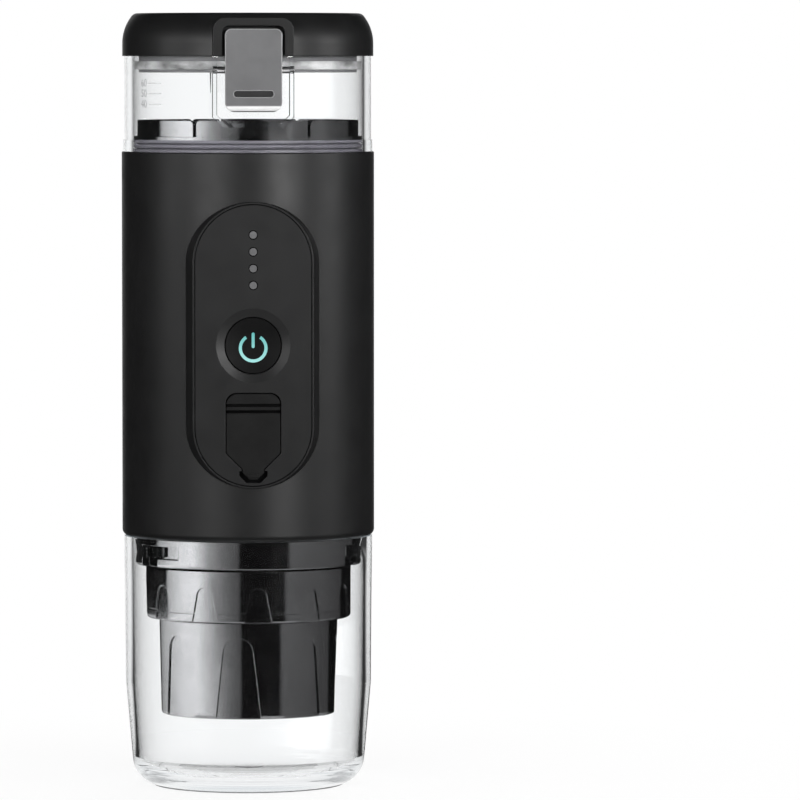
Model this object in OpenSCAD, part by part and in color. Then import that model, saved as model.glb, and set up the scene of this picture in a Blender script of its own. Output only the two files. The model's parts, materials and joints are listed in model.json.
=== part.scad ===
// Portable espresso maker: clear cup, twist-off brew unit, battery housing, clear water tank, latched lid.
// Millimetres. Z is up, the front faces -Y, the origin is the middle of the cup's foot.

/* [Housing] */
// Outer diameter of the battery housing
body_d = 74; // [73:0.5:80]
// Height of the battery housing
body_h = 112.6; // [112:0.5:130]
// Wall of the battery housing
body_wall = 2.2; // [1.8:0.1:2.5]
// Rounding of the housing's lower edge
body_edge_r = 1.8; // [0.8:0.1:1.8]

/* [Cup] */
// Height of the cup from foot to rim
cup_h = 73.5; // [70:0.5:90]
// Wall of the cup at the rim
cup_wall = 2.4; // [2:0.1:2.6]
// Thickness of the cup's floor
cup_floor = 3.4; // [2.5:0.1:6]
// Rounding of the cup's outer bottom corner
cup_corner_r = 8; // [6:0.5:10]

/* [Tank and lid] */
// Height of the clear tank above the housing
tank_h = 27.9; // [26:0.5:45]
// Wall of the clear tank
tank_wall = 2.4; // [2:0.1:2.6]
// Height of the lid
lid_h = 12.5; // [11.5:0.5:16]
// Rounding of the lid's top edge
lid_edge_r = 2.2; // [1.6:0.1:3]
// Radius of the lid's sloping shoulder
lid_curve_r = 13; // [11:0.5:16]
// Height of that shoulder
lid_curve_h = 8.8; // [7:0.2:9.4]
// Wall of the lid
lid_wall = 2.3; // [1.6:0.1:2.5]

/* [Latch and hinge] */
// Width of the latch plate
latch_w = 16.4; // [14:0.2:16.8]
// Thickness of the latch plate
latch_t = 2.2; // [1.8:0.1:2.4]
// Diameter of the latch pin and of the lid's hinge pin
pin_d = 2; // [1.6:0.1:2.2]

/* [Control panel] */
// Width of the panel plate
panel_w = 33.6; // [30:0.2:36]
// Height of the panel plate
panel_h = 81.2; // [80:0.5:90]
// Diameter of the power button's cap
button_d = 16; // [12:0.5:17]
// Diameter of the hollow round the button
dish_d = 21.5; // [19:0.5:22]
// Diameter of each battery light
light_d = 2.5; // [1.6:0.1:3.2]
// Spacing of the battery lights
light_pitch = 4.84; // [4:0.02:5]
// Width of the rubber port flap
flap_w = 15.5; // [14:0.5:18]

/* [Brew unit] */
// Diameter of the collar
collar_d = 60.2; // [57:0.2:61]
// Diameter of the basket at its top
basket_d = 52.4; // [51:0.2:54]
// Height of the basket below the collar
basket_h = 27.8; // [22:0.5:30]
// Number of grip flutes round the collar
collar_flutes = 12; // [8:1:14]
// Number of grip flutes round the basket
basket_flutes = 8; // [5:1:9]

/* [Fits] */
// Gap between pieces that move past each other
gap = 0.3; // [0.25:0.05:0.4]
// Radial play of a pin or shaft in its hole
play = 0.05; // [0.03:0.01:0.08]

/* [Hidden] */
$fn = 120;

// Run of a cut past the face it opens, and depth by which features of one piece run into each other
over = 1;
join = 1;

// Housing
body_r = body_d / 2;
body_ri = body_r - body_wall;
zb = cup_h;
z_top = zb + body_h;
z_seat = z_top + tank_h;
z_lid = z_seat + lid_h;
body_top_r = 0.4;
low_ledge = 2.4;
top_ledge = 2.2;
top_ledge_h = 3;

// Cup
cup_inset = 0.5;
cup_r = body_r - cup_inset;
cup_ri = cup_r - cup_wall;
cup_knee = 30;
cup_low = 6;
cup_draft_r = 0.4;
cup_taper = 2.6;
cup_low_r = cup_r - cup_taper;
cup_lean = atan2(cup_taper - cup_draft_r, cup_knee - cup_low);
cup_foot_r = cup_low_r - (cup_corner_r - (cup_corner_r - cup_low) * sin(cup_lean)) / cos(cup_lean);
cup_in_draft = 0.5;
cup_in_taper = 1.8;
cup_in_step = 2;
cup_in_r = cup_corner_r - cup_in_step;
cup_in_low = cup_ri - cup_in_taper;
cup_in_foot = cup_in_low - cup_in_r;
corner_steps = 12;
foot_w = 5;
foot_ri = cup_foot_r - foot_w;
foot_deep = 0.8;
gate_r = 4.2;
gate_w = 0.8;
gate_h = 0.4;
lug_w = 10;
lug_drop = 5.4;
lug_z = zb - lug_drop;
lug_h = 3;
lug_reach = 2;
lug_at = [90, 210, 330];

// Tank
tank_inset = 0.8;
tank_r = body_r - tank_inset;
tank_ri = tank_r - tank_wall;
flange_h = 3.5;
flange_out = 0.4;
deck_h = 6.1;
deck_z = z_top - deck_h;
deck_r = body_ri - gap;
deck_floor = 2.4;
collar_z = z_top + flange_h;
spigot_r = tank_ri - gap;
plate_inset = 3.3;
plate_r = tank_ri - plate_inset;
plate_t = 1.4;
plate_rest = 1.5;
seal_wire_r = 0.75;
seal_up = 1.75;
seal_z = z_top + seal_up;
seal_room = 1.6;
seal_room_h = 1.9;
splash_inset = 1.4;
splash_r = tank_ri - splash_inset;
splash_h = 5.7;
splash_t = 1.6;
splash_foot = 1;
splash_slot = 1;
splash_round = 1.2;
splash_tabs = 6;

// Lid
lid_inset = 0.2;
lid_r = body_r - lid_inset;
lid_ri = lid_r - lid_wall;
lid_top_t = 2.6;
lid_rest = 1.5;
plug_inset = 1.8;
plug_r = tank_ri - plug_inset;
plug_h = 4.8;
plug_floor = 1.8;
plug_wall = 2;
liner_t = 1.4;
gasket_gap = 0.5;
gasket_h = 2.4;
gasket_in = 0.9;
gasket_z = z_seat - plug_h + gasket_in;
bracket_side = 3.4;
bracket_w = latch_w + 2 * bracket_side;
bracket_bar = 2.6;
bracket_top_bar = 2.3;
bracket_out = 4;
bracket_y = -(body_r + bracket_out);
bracket_up = 11;
bracket_top = z_seat + bracket_up;
bracket_r = 3.5;
bracket_hole_r = 2;
bracket_root = 9;
bracket_skin = 0.1;
keeper_w = 10;
keeper_up = 1.6;
keeper_z = z_seat + keeper_up;
keeper_h = 2.2;
keeper_out = 1.4;

// Latch and hinge
pin_r = pin_d / 2;
pin_out = 2.4;
latch_y = -(tank_r + pin_out);
latch_drop = 4;
latch_z = z_seat - latch_drop;
latch_out = 6.3;
latch_front = -(tank_r + latch_out);
latch_back = latch_front + latch_t;
latch_up = 7.8;
latch_top = z_seat + latch_up;
latch_h = 23.9;
latch_z0 = latch_top - latch_h;
latch_corner = 1.8;
latch_low_r = 2.8;
ear_inset = 1.7;
ear_x = latch_w / 2 - ear_inset;
ear_t = 2.2;
ear_r = 2.1;
nose_w = 9;
nose_up = 4.2;
nose_z = z_seat + nose_up;
nose_h = 1.9;
latch_lip_r = 1.8;
grip_w = 11.4;
grip_z = 4.3;
grip_h = 1.8;
grip_deep = 0.6;
grip_r = 0.85;
rib_gap = 2.3;
rib_x = latch_w / 2 + rib_gap;
rib_t = 1.2;
rib_x1 = rib_x + rib_t;
cradle_drop = 1.5;
cradle_z = latch_z0 - cradle_drop;
cradle_cut = 3;
cradle_floor = 1.2;
cradle_gap = 0.4;
cradle_top = z_seat - cradle_gap;
cradle_root = 4;
cradle_in = 2.4;
cradle_out = 2.4;
hinge_out = 3.1;
hinge_y = tank_r + hinge_out;
hinge_drop = 2;
hinge_z = z_seat - hinge_drop;
knuckle_r = 2.6;
knuckle_x = 6;
knuckle_up = 4.2;
knuckle_root = 6;
knuckle_step = 1;
knuckle_slope = 0.6;
knuckle_draft = 0.05;
lug_x = 10;
lug_foot = 9;
lug_up = 1.5;
lug_root = 2;
wire_r = 0.2;
coil_air = 0.15;
coil_r = pin_r + coil_air + wire_r;
coil_l = 5;
coil_steps = 16;
coil_a0 = 8;
coil_a1 = 360 * 4 + 179;
coil_n = round((coil_a1 - coil_a0) / 360 * coil_steps);
leg_l = 6;
leg_n = 6;
wire_sides = 6;

// Panel
panel_out = 0.3;
panel_y = -(body_r + panel_out);
panel_t = 2.2;
panel_rise = 0.8;
panel_z = zb + body_h / 2 + panel_rise;
panel_low = panel_z - panel_h / 2;
panel_high = panel_z + panel_h / 2;
panel_back = panel_y + panel_t;
boss_t = 4.3;
boss_back = panel_y + boss_t;
boss_rim = 0.7;
boss_depth = 9;
boss_flare = 2.8;
boss_pad = 2;
panel_gap = 0.15;
ledge = 2.6;
button_z = panel_z;
button_travel = 0.8;
button_lip = 1.2;
button_lip_gap = 0.15;
button_lip_t = 1.15;
button_stem_r = 2;
button_air = 0.1;
dish_depth = 1.5;
dish_ball = (pow(dish_d / 2, 2) + pow(dish_depth, 2)) / (2 * dish_depth);
light_drop = 8.7;
light_z = panel_high - light_drop;
light_n = 4;
guide_w = 6;
guide_t = 1.6;
guide_end = 2.5;
guide_r = 1;
guide_air = 1.2;
flap_below = 3.2;
flap_top = button_z - dish_d / 2 - flap_below;
flap_end = 1.9;
flap_tip = panel_low + flap_end;
flap_r = 3.2;
flap_taper = 7.6;
flap_waist = flap_tip + flap_taper;
neck_rise = 3;
flap_neck = flap_tip + neck_rise;
flap_in = 0.05;
flap_t = 1.4;
flap_deep = 1.75;
flap_floor = panel_y + flap_deep;
groove_drop = 3.3;
groove_a = flap_top - groove_drop;
groove_step = 1.85;
groove_b = groove_a - groove_step;
groove_h = 0.86;
groove_deep = 0.9;
tip_w = 6.2;
tip_cut = 2;
thumb_gap = 0.95;
thumb_h = 3.4;
lip_w = 3.4;
lip_h = 1;
lip_r = 0.45;
lip_out = 0.45;
lip_up = 1.1;
port_low = 0.275;
port_z = (flap_top + flap_tip) / 2 - port_low;
port_w = 3.2;
port_h = 9;
port_wall = 0.32;
port_floor = 1;
pad_fit = 0.2;
pad_in = 0.15;
tongue_t = 0.7;
tongue_h = 6.7;
tongue_in = 0.8;

// Board behind the panel
board_in = 10.3;
board_y = panel_y + board_in;
board_t = 1.6;
board_w = 30;
board_r = 2;
board_low = 1.6;
board_z0 = panel_low + board_low;
board_high = 1.1;
board_z1 = panel_high - board_high;
spine_gap = 2;
spine_y = board_y + board_t + spine_gap;
spine_t = 1.6;
spine_w = 35;
post_x = 12;
post_end = 4;
post_zs = [board_z0 + post_end, board_z1 - post_end];
post_r = 2.5;
board_screw_r = 1;
board_head_r = 1.9;
board_head_h = 1.3;
board_screw_in = 1.2;
switch_up = 4;
switch_y = board_y - switch_up;
switch_w = 6;
switch_cap = 0.6;
switch_cap_r = 1.7;
chip_w = 2;
chip_h = 1.3;
chip_t = 0.9;

// Pump train
tooth_m = 0.45;
pinion_n = 16;
gear_n = 48;
press_a = 20;
tooth_slack = 1.6;
tooth_root = 1.2;
tooth_head = 0.9;
tooth_steps = 5;
root_air = 0.05;
root_turn = 0.4;
flank_low = 0.955;
pinion_up = 3;
pinion_h = 5;
gear_up = 3.3;
gear_h = 4.4;
train_r = 13.4;
train_air = 0.4;
pump_y = spine_y + spine_t + train_air + train_r;
gear_y = pump_y + tooth_m * (pinion_n + gear_n) / 2;
block_up = 4.1;
block_h = 14.4;
block_z = zb + block_up;
box_z = block_z + block_h;
box_h = 11;
box_floor = 2;
box_wall = 1.4;
cover_z = box_z + box_h;
cover_t = 2;
motor_z = cover_z + cover_t;
motor_r = 12.2;
motor_h = 32;
motor_cap_r = 5;
motor_cap_h = 2.4;
motor_hole_r = 2.5;
shaft_r = 1;
shaft_in = 3.6;
shaft_low = 2.4;
tab_x = 7;
tab_w = 3;
tab_t = 0.6;
tab_h = 4;
axle_r = 1.5;
axle_low = 2.8;
axle_high = 1.6;
crank_up = 7.4;
crank_z = block_z + crank_up;
crank_throw = 1.8;
crank_r = 4;
crank_h = 5.2;
crank_room_r = 8;
crank_floor = 2.4;
plunger_r = 4;
plunger_end = 2.4;
outlet_in = 2;
outlet_y = pump_y - outlet_in;
outlet_r = 1.55;
outlet_bore_r = 0.8;
outlet_low = 9;
outlet_high = 3;
fitting_r = 3.6;
fitting_t = 1.2;
fitting_neck_r = 2.2;
fitting_hole_r = 2.4;
fitting_tail_r = 1.55;
fitting_bore_r = 0.9;
fitting_tail = 10;
hose_a = 30;
hose_ring = plate_r - fitting_r;
hose_x = hose_ring * cos(hose_a);
hose_y = -hose_ring * sin(hose_a);
hose_r = 2.8;
hose_bore_r = 1.6;
hose_bend = 6;
hose_end = train_r + train_air;
hose_drop = 4;
nipple_r = 1.5;
nipple_bore_r = 0.8;
nipple_root = 8;

// Cells and chassis
cell_r = 9.2;
cell_wall = 1.7;
cell_grip = 5;
cell_tip_r = 3;
cell_tip = 0.6;
cell_up = 4.4;
cell_z = motor_z + cell_up;
cell_room = 1;
cell_a = 30;
cell_ring = body_ri - cell_room - cell_wall - cell_r;
cells = [for (a = [180 - cell_a, cell_a, 90]) cell_ring * [cos(a), sin(a)]];
cap_down = 5;
cap_z = deck_z - cap_down;
cap_t = 1.8;
cap_grip = 4;
cap_room = 1.5;
cap_front = cells[1][1] - cell_r - cell_wall - 2;
cap_motor_gap = 1.8;
foot_z = block_z;
clamp_h = 3;
clamp_z = foot_z + clamp_h;
clamp_t = 2;
clamp_w = 5;
shelf_t = 3;
leg_in = 7.2;
leg_ring = body_ri - leg_in;
leg_front_a = 49.5;
leg_rear_a = 60;
legs = [for (a = [180 + leg_front_a, -leg_front_a, 180 - leg_rear_a, leg_rear_a]) leg_ring * [cos(a), sin(a)]];
rear_legs = [legs[2], legs[3]];
leg_r = 3;
leg_foot_r = 2.4;
leg_hole_r = 1.25;
leg_hole = 9;
leg_top_r = 2.5;
cap_hole_r = 1.1;
cap_hole = 7;
cap_screw_r = 1;
cap_screw = 5;
cap_head_r = 2;
cap_head_h = 1.1;
cap_fit = 0.2;
cutout_x = -8;
cutout_y = 6;
cutout_r = 6;

// Brew unit
head_inset = 3.8;
head_r = body_r - head_inset;
head_h = 8.3;
head_z = zb - head_h;
head_edge_r = 1;
head_lift = 0.1;
head_fit = 0.5;
neck_in = 4.1;
neck_r = leg_ring - neck_in;
neck_h = 14;
neck_z = zb - neck_h;
neck_wall = 4.3;
neck_up = 8;
plenum_r = 3;
plenum_z = 1.6;
plenum_h = 3.6;
slot_deep = 2.1;
slot_gap = 0.4;
slot_more = 4;
slot_turn = 14;
screw_r = 1.2;
screw_head_r = 2.5;
screw_head_h = 1.8;
screw_in = 8;
screw_fit = 0.2;
screw_sink = 0.6;
screen_fit = 0.3;
screen_t = 0.8;
screen_pitch = 5.2;
screen_hole_r = 0.7;
screen_rings = 3;
shower_screw_r = 1;
shower_head_r = 2.2;
shower_head_h = 1.1;
shower_screw = 7;
collar_r = collar_d / 2;
collar_top = head_z - gap;
collar_h = 24;
collar_bot = zb - collar_h;
collar_low_r = 1.2;
collar_high_r = 0.5;
collar_line = 2.6;
collar_line_h = 0.5;
collar_line_deep = 0.35;
flute_deep = 0.4;
flute_cut = 4;
collar_flute_w = 5;
collar_flute_foot = 8.4;
collar_flute_h = 10.3;
collar_flute_turn = 3;
web_drop = 3;
web_z = neck_z - web_drop;
web_t = 1.7;
seal_w = 3;
seal_air = 0.2;
basket_r = basket_d / 2;
basket_top = collar_bot - gap;
basket_bot = basket_top - basket_h;
basket_taper = 0.6;
basket_low_r = basket_r - basket_taper;
basket_edge = 1;
basket_edge_in = 0.3;
basket_rim = 2;
basket_flute_w = 8.8;
basket_flute_foot = 13.2;
basket_flute_turn = -9;
basket_flute_top = 4.2;
spout_r = 24.7;
chamber_r = 21.5;
chamber_up = 5.6;
chamber_z = basket_bot + chamber_up;
chamber_step = 1.5;
chamber_floor = 2.4;
filter_t = 0.5;
filter_seat = 0.6;
filter_fit = 0.2;
filter_pitch = 5.4;
filter_hole_r = 0.6;
filter_rings = 3;
nozzle_r = 4;
nozzle_bore_r = 1.6;
nozzle_up = 0.3;
basket_seal_h = 1.2;
basket_seal_z = web_z - gap - basket_seal_h;
basket_seal_fit = 0.2;

black = [0.06, 0.06, 0.065];
clear = [0.85, 0.92, 0.95, 0.35];
steel = [0.75, 0.76, 0.78];
grey = [0.45, 0.46, 0.47];
rubber = [0.1, 0.1, 0.1];
silicone = [0.75, 0.75, 0.72];
green = [0.05, 0.3, 0.15];
blue = [0.1, 0.35, 0.5];

// Flat shape in X and Z made solid from its front y0 to its back y1
module front(y0, y1) {
  translate([0, y1, 0]) rotate([90, 0, 0]) linear_extrude(y1 - y0) children();
}

// Flat shape in Y and Z made solid from x0 to x1
module across(x0, x1) {
  translate([x0, 0, 0]) rotate([90, 0, 90]) linear_extrude(x1 - x0) children();
}

// Round bar along Y
module bar_y(x, z, r, y0, y1) {
  translate([x, y1, z]) rotate([90, 0, 0]) cylinder(r = r, h = y1 - y0);
}

// Round bar along X
module bar_x(y, z, r, x0, x1) {
  translate([x0, y, z]) rotate([0, 90, 0]) cylinder(r = r, h = x1 - x0);
}

// Upright disc or bar
module bar_z(x, y, r, z0, z1) {
  translate([x, y, z0]) cylinder(r = r, h = z1 - z0);
}

// Ring about the Z axis
module ring(r0, r1, z0, z1) {
  rotate_extrude() translate([r0, z0]) square([r1 - r0, z1 - z0]);
}

// Part of a ring, w degrees wide round the angle a
module sector(r0, r1, z0, z1, a, w) {
  rotate([0, 0, a - w / 2]) rotate_extrude(angle = w) translate([r0, z0]) square([r1 - r0, z1 - z0]);
}

// Everything behind y0 between two heights
module behind(y0, z0, z1) {
  translate([-body_d, y0, z0]) cube([2 * body_d, 2 * body_d, z1 - z0]);
}

// Upright flat stadium round the middle
module stadium(w, h) {
  square([w, h - w], center = true);
  for (s = [-1, 1]) translate([0, s * (h - w) / 2]) circle(w / 2);
}

// Flat box with round corners from its lower left corner
module round_box(x0, z0, x1, z1, r) {
  translate([x0 + r, z0]) square([x1 - x0 - 2 * r, z1 - z0]);
  translate([x0, z0 + r]) square([x1 - x0, z1 - z0 - 2 * r]);
  for (x = [x0 + r, x1 - r], z = [z0 + r, z1 - r]) translate([x, z]) circle(r);
}

// What a rounding takes off an outer corner, sx and sz pointing out of the corner
module corner_cut(x, z, r, sx, sz) {
  translate([x, z]) difference() {
    translate([sx > 0 ? -r : -over, sz > 0 ? -r : -over]) square(r + over);
    translate([-sx * r, -sz * r]) circle(r);
  }
}

// Arched flute outline standing on z0
module arch(wt, wb, z0, z1) {
  polygon([[-wb / 2, z0], [wb / 2, z0], [wt / 2, z1 - wt / 2], [-wt / 2, z1 - wt / 2]]);
  translate([0, z1 - wt / 2]) circle(wt / 2);
}

// Round holes in rings about the Z axis
module hole_rings(rings, pitch, r, z0, z1) {
  for (k = [1 : rings], i = [0 : 6 * k - 1]) rotate([0, 0, 60 * i / k]) bar_z(pitch * k, 0, r, z0, z1);
}

// Cup: round-cornered clear beaker with three lugs under its rim
function arc(cx, cz, r, a0, a1, n) =
  [for (i = [0 : n]) [cx + r * cos(a0 + (a1 - a0) * i / n), cz + r * sin(a0 + (a1 - a0) * i / n)]];

cup_outside = concat(
  [[0, foot_deep], [foot_ri, foot_deep], [foot_ri, 0]],
  arc(cup_foot_r, cup_corner_r, cup_corner_r, -90, -cup_lean, corner_steps),
  [[cup_r - cup_draft_r, cup_knee], [cup_r, cup_h], [0, cup_h]]);

cup_inside = concat(
  [[0, cup_floor]],
  arc(cup_in_foot, cup_floor + cup_in_r, cup_in_r, -90, 0, corner_steps),
  [[cup_ri - cup_in_draft, cup_knee], [cup_ri, cup_h], [cup_ri, cup_h + over], [0, cup_h + over]]);

module cup() {
  color(clear) {
    difference() {
      rotate_extrude() polygon(cup_outside);
      rotate_extrude() polygon(cup_inside);
    }
    for (a = lug_at) sector(cup_ri - lug_reach, cup_ri + join, lug_z, lug_z + lug_h, a, lug_w);
    ring(gate_r - gate_w, gate_r, foot_deep - gate_h, foot_deep + join / 2);
    bar_z(0, 0, gate_w, foot_deep - gate_h, foot_deep + join / 2);
  }
}

// Housing: tube with a flat-fronted boss for the panel and two inner ledges
module drafted_boss() {
  w = panel_w + 2 * boss_rim;
  half = (panel_h - panel_w) / 2;
  translate([0, panel_y + boss_depth, panel_z]) rotate([90, 0, 0]) {
    for (s = [-1, 1]) translate([0, s * half, 0]) cylinder(r1 = w / 2 + boss_flare, r2 = w / 2, h = boss_depth);
    rotate([90, 0, 0]) translate([0, 0, -half]) linear_extrude(2 * half)
      polygon([[-w / 2 - boss_flare, 0], [w / 2 + boss_flare, 0], [w / 2, boss_depth], [-w / 2, boss_depth]]);
  }
}

module body_shell() {
  color(black) difference() {
    union() {
      rotate_extrude() difference() {
        translate([0, zb]) square([body_r, body_h]);
        corner_cut(body_r, zb, body_edge_r, 1, -1);
        corner_cut(body_r, z_top, body_top_r, 1, 1);
      }
      drafted_boss();
    }
    difference() {
      bar_z(0, 0, body_ri, zb - over, z_top + over);
      front(panel_y, boss_back) translate([0, panel_z]) stadium(panel_w + 2 * boss_pad, panel_h + 2 * boss_pad);
      ring(body_ri - low_ledge, body_ri + join, foot_z, clamp_z);
      ring(body_ri - top_ledge, body_ri + join, deck_z - top_ledge_h, deck_z);
    }
    front(panel_y - over, panel_back) translate([0, panel_z])
      stadium(panel_w + 2 * panel_gap, panel_h + 2 * panel_gap);
    front(panel_y - over, boss_back + over) translate([0, panel_z])
      stadium(panel_w - 2 * ledge, panel_h - 2 * ledge);
  }
}

// Control panel: plate with lights, button hollow and port flap recess
module flap_shape(grow) {
  w = flap_w / 2 + grow;
  t = tip_w / 2 + grow;
  top = flap_top + grow;
  tip = flap_tip - grow;
  translate([-w + flap_r, top - flap_r - join]) square([2 * w - 2 * flap_r, flap_r + join]);
  for (s = [-1, 1]) translate([s * (w - flap_r), top - flap_r]) circle(flap_r);
  polygon([[-w, top - flap_r], [-w, flap_waist], [-t, flap_neck], [-t, tip + tip_cut], [-t + tip_cut, tip],
    [t - tip_cut, tip], [t, tip + tip_cut], [t, flap_neck], [w, flap_waist], [w, top - flap_r]]);
}

// The hollow that dishes the panel and the button's cap alike
module dish() {
  translate([0, panel_y + dish_depth - dish_ball, button_z]) sphere(dish_ball);
}

// Places of the battery lights, top to bottom
light_zs = [for (i = [0 : light_n - 1]) light_z - i * light_pitch];

module control_panel() {
  color(black) difference() {
    front(panel_y, panel_back) translate([0, panel_z]) stadium(panel_w, panel_h);
    dish();
    bar_y(0, button_z, button_d / 2 + gap, panel_y - over, panel_back + over);
    for (z = light_zs) bar_y(0, z, light_d / 2 + play, panel_y - over, panel_back + over);
    front(panel_y - over, flap_floor) flap_shape(gap);
    front(panel_y - over, flap_floor) intersection() {
      flap_shape(thumb_gap);
      translate([-flap_w / 2, flap_tip - thumb_gap - over]) square([flap_w, thumb_h + over]);
    }
    front(panel_y, panel_back + over) translate([0, port_z]) stadium(port_w + 2 * gap, port_h + 2 * gap);
  }
}

// Clear light guide: four rods on one bar behind the plate
module light_guide() {
  color(clear) {
    for (z = light_zs) bar_y(0, z, light_d / 2, panel_y, board_y - guide_air);
    front(panel_back, panel_back + guide_t)
      round_box(-guide_w / 2, light_zs[light_n - 1] - guide_end, guide_w / 2, light_z + guide_end, guide_r);
  }
}

// Rubber port cover: fixed root with the bending strip
module flap_anchor() {
  color(rubber) difference() {
    intersection() {
      front(panel_y + flap_in, flap_floor) flap_shape(0);
      front(panel_y - over, flap_floor) translate([-flap_w, groove_b + groove_h / 2])
        square([2 * flap_w, flap_top - groove_b]);
    }
    front(panel_y - over, panel_y + groove_deep) translate([-flap_w, groove_a - groove_h / 2])
      square([2 * flap_w, groove_h]);
  }
}

// Rubber port cover: swinging door with its sealing pad and thumb lip
module port_flap() {
  lip_z = flap_tip + lip_up;
  color(rubber) {
    intersection() {
      front(panel_y + flap_in, panel_y + flap_in + flap_t) flap_shape(0);
      front(panel_y - over, flap_floor) translate([-flap_w, flap_tip - over])
        square([2 * flap_w, groove_b - groove_h / 2 - flap_tip + over]);
    }
    front(panel_y + flap_t - join / 2, flap_floor + pad_in) translate([0, port_z])
      stadium(port_w - pad_fit, port_h - pad_fit);
    front(panel_y - lip_out, panel_y + join)
      round_box(-lip_w / 2, lip_z - lip_h / 2, lip_w / 2, lip_z + lip_h / 2, lip_r);
  }
}

// Charging port: upright steel receptacle on the board
module usb_port() {
  color(steel) difference() {
    front(flap_floor + gap, board_y) translate([0, port_z]) stadium(port_w, port_h);
    front(flap_floor - over, board_y - port_floor) translate([0, port_z])
      stadium(port_w - 2 * port_wall, port_h - 2 * port_wall);
  }
}

// Contact tongue in the middle of the port
module usb_tongue() {
  color(black) front(flap_floor + gap + tongue_in, board_y - port_floor) translate([0, port_z])
    square([tongue_t, tongue_h], center = true);
}

// Circuit board
module main_board() {
  color(green) difference() {
    front(board_y, board_y + board_t) round_box(-board_w / 2, board_z0, board_w / 2, board_z1, board_r);
    for (x = [-post_x, post_x], z = post_zs)
      bar_y(x, z, board_screw_r + screw_fit / 2, board_y - over, board_y + board_t + over);
  }
}

// Push switch under the button
module tact_switch() {
  color(grey) {
    front(switch_y + switch_cap, board_y) translate([0, button_z]) square(switch_w, center = true);
    bar_y(0, button_z, switch_cap_r, switch_y, switch_y + join);
  }
}

// Light chips on the board
module led_chips() {
  color(silicone) for (z = light_zs)
    front(board_y - chip_t, board_y) translate([0, z]) square([chip_w, chip_h], center = true);
}

// Board screws
module board_screws() {
  color(steel) for (x = [-post_x, post_x], z = post_zs) {
    bar_y(x, z, board_head_r, board_y - board_head_h, board_y);
    bar_y(x, z, board_screw_r, board_y - join / 2, spine_y + board_screw_in);
  }
}

// Chassis: clamp ring, legs, cell shelf and board spine in one moulding
module chassis() {
  color(grey) difference() {
    union() {
      ring(body_ri - cell_room - clamp_w, body_ri - cell_room, clamp_z, clamp_z + clamp_t);
      for (p = legs) {
        bar_z(p[0], p[1], leg_foot_r, foot_z, clamp_z + join);
        bar_z(p[0], p[1], leg_r, clamp_z, cell_z - join);
      }
      for (p = rear_legs) bar_z(p[0], p[1], leg_top_r, cell_z - 2 * join, cap_z);
      intersection() {
        bar_z(0, 0, body_ri - cell_room, cell_z - shelf_t, cell_z);
        behind(spine_y, cell_z - shelf_t, cell_z);
      }
      for (p = cells) bar_z(p[0], p[1], cell_r + cell_wall, cell_z - join, cell_z + cell_grip);
      translate([-spine_w / 2, spine_y, clamp_z]) cube([spine_w, spine_t, cap_z - top_ledge_h - clamp_z]);
      for (x = [-post_x, post_x], z = post_zs) bar_y(x, z, post_r, board_y + board_t, spine_y + join);
    }
    for (p = cells) bar_z(p[0], p[1], cell_r + gap, cell_z, cell_z + cell_grip + over);
    bar_z(0, pump_y, motor_r + gap, cell_z - shelf_t - over, cell_z + cell_grip + over);
    bar_z(hose_x, hose_y, hose_r + gap, cell_z - shelf_t - over, cell_z + cell_grip + over);
    for (p = legs) bar_z(p[0], p[1], leg_hole_r, foot_z - over, foot_z + leg_hole);
    for (p = rear_legs) bar_z(p[0], p[1], cap_hole_r, cap_z - cap_hole, cap_z + over);
    for (x = [-post_x, post_x], z = post_zs)
      bar_y(x, z, board_screw_r + screw_fit / 2, board_y, spine_y + board_screw_in + screw_fit);
  }
}

// Three round cells
module battery_cells() {
  color(blue) for (p = cells) {
    bar_z(p[0], p[1], cell_r, cell_z, cap_z - cell_tip);
    bar_z(p[0], p[1], cell_tip_r, cap_z - cell_tip - join, cap_z);
  }
}

// Cap over the cells
module cell_cap() {
  color(grey) difference() {
    union() {
      intersection() {
        bar_z(0, 0, body_ri - cap_room, cap_z, cap_z + cap_t);
        behind(cap_front, cap_z, cap_z + cap_t);
      }
      for (p = cells) bar_z(p[0], p[1], cell_r + cell_wall - cap_fit, cap_z - cap_grip, cap_z + join);
    }
    for (p = cells) bar_z(p[0], p[1], cell_r + gap, cap_z - cap_grip - over, cap_z);
    for (p = rear_legs) {
      bar_z(p[0], p[1], cap_screw_r + cap_fit, cap_z - over, cap_z + cap_t + over);
      bar_z(p[0], p[1], leg_top_r + gap, cap_z - cap_grip - over, cap_z);
    }
    bar_z(0, pump_y, motor_r + cap_motor_gap, cap_z - cap_grip - over, cap_z + cap_t + over);
  }
}

// Cap screws
module cap_screws() {
  color(steel) for (p = rear_legs) {
    bar_z(p[0], p[1], cap_head_r, cap_z + cap_t, cap_z + cap_t + cap_head_h);
    bar_z(p[0], p[1], cap_screw_r, cap_z - cap_screw, cap_z + cap_t + join / 2);
  }
}

// Motor
module pump_motor() {
  motor_top = motor_z + motor_h;
  color(steel) difference() {
    union() {
      bar_z(0, pump_y, motor_r, motor_z, motor_top);
      bar_z(0, pump_y, motor_cap_r, motor_top - join, motor_top + motor_cap_h);
      for (x = [-tab_x, tab_x])
        translate([x - tab_t / 2, pump_y - tab_w / 2, motor_top - join]) cube([tab_t, tab_w, tab_h + join]);
    }
    bar_z(0, pump_y, shaft_r + play, motor_z - over, motor_z + shaft_in + gap);
  }
}

// Gear casing and its lid
module train_outline(r) {
  translate([0, (pump_y + gear_y) / 2]) stadium(2 * r, gear_y - pump_y + 2 * r);
}

module gearbox() {
  color(black) difference() {
    translate([0, 0, box_z]) linear_extrude(box_h) train_outline(train_r);
    translate([0, 0, box_z + box_floor]) linear_extrude(box_h) train_outline(train_r - box_wall);
    bar_z(0, gear_y, axle_r + play, box_z - over, box_z + box_floor + over);
  }
}

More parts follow.
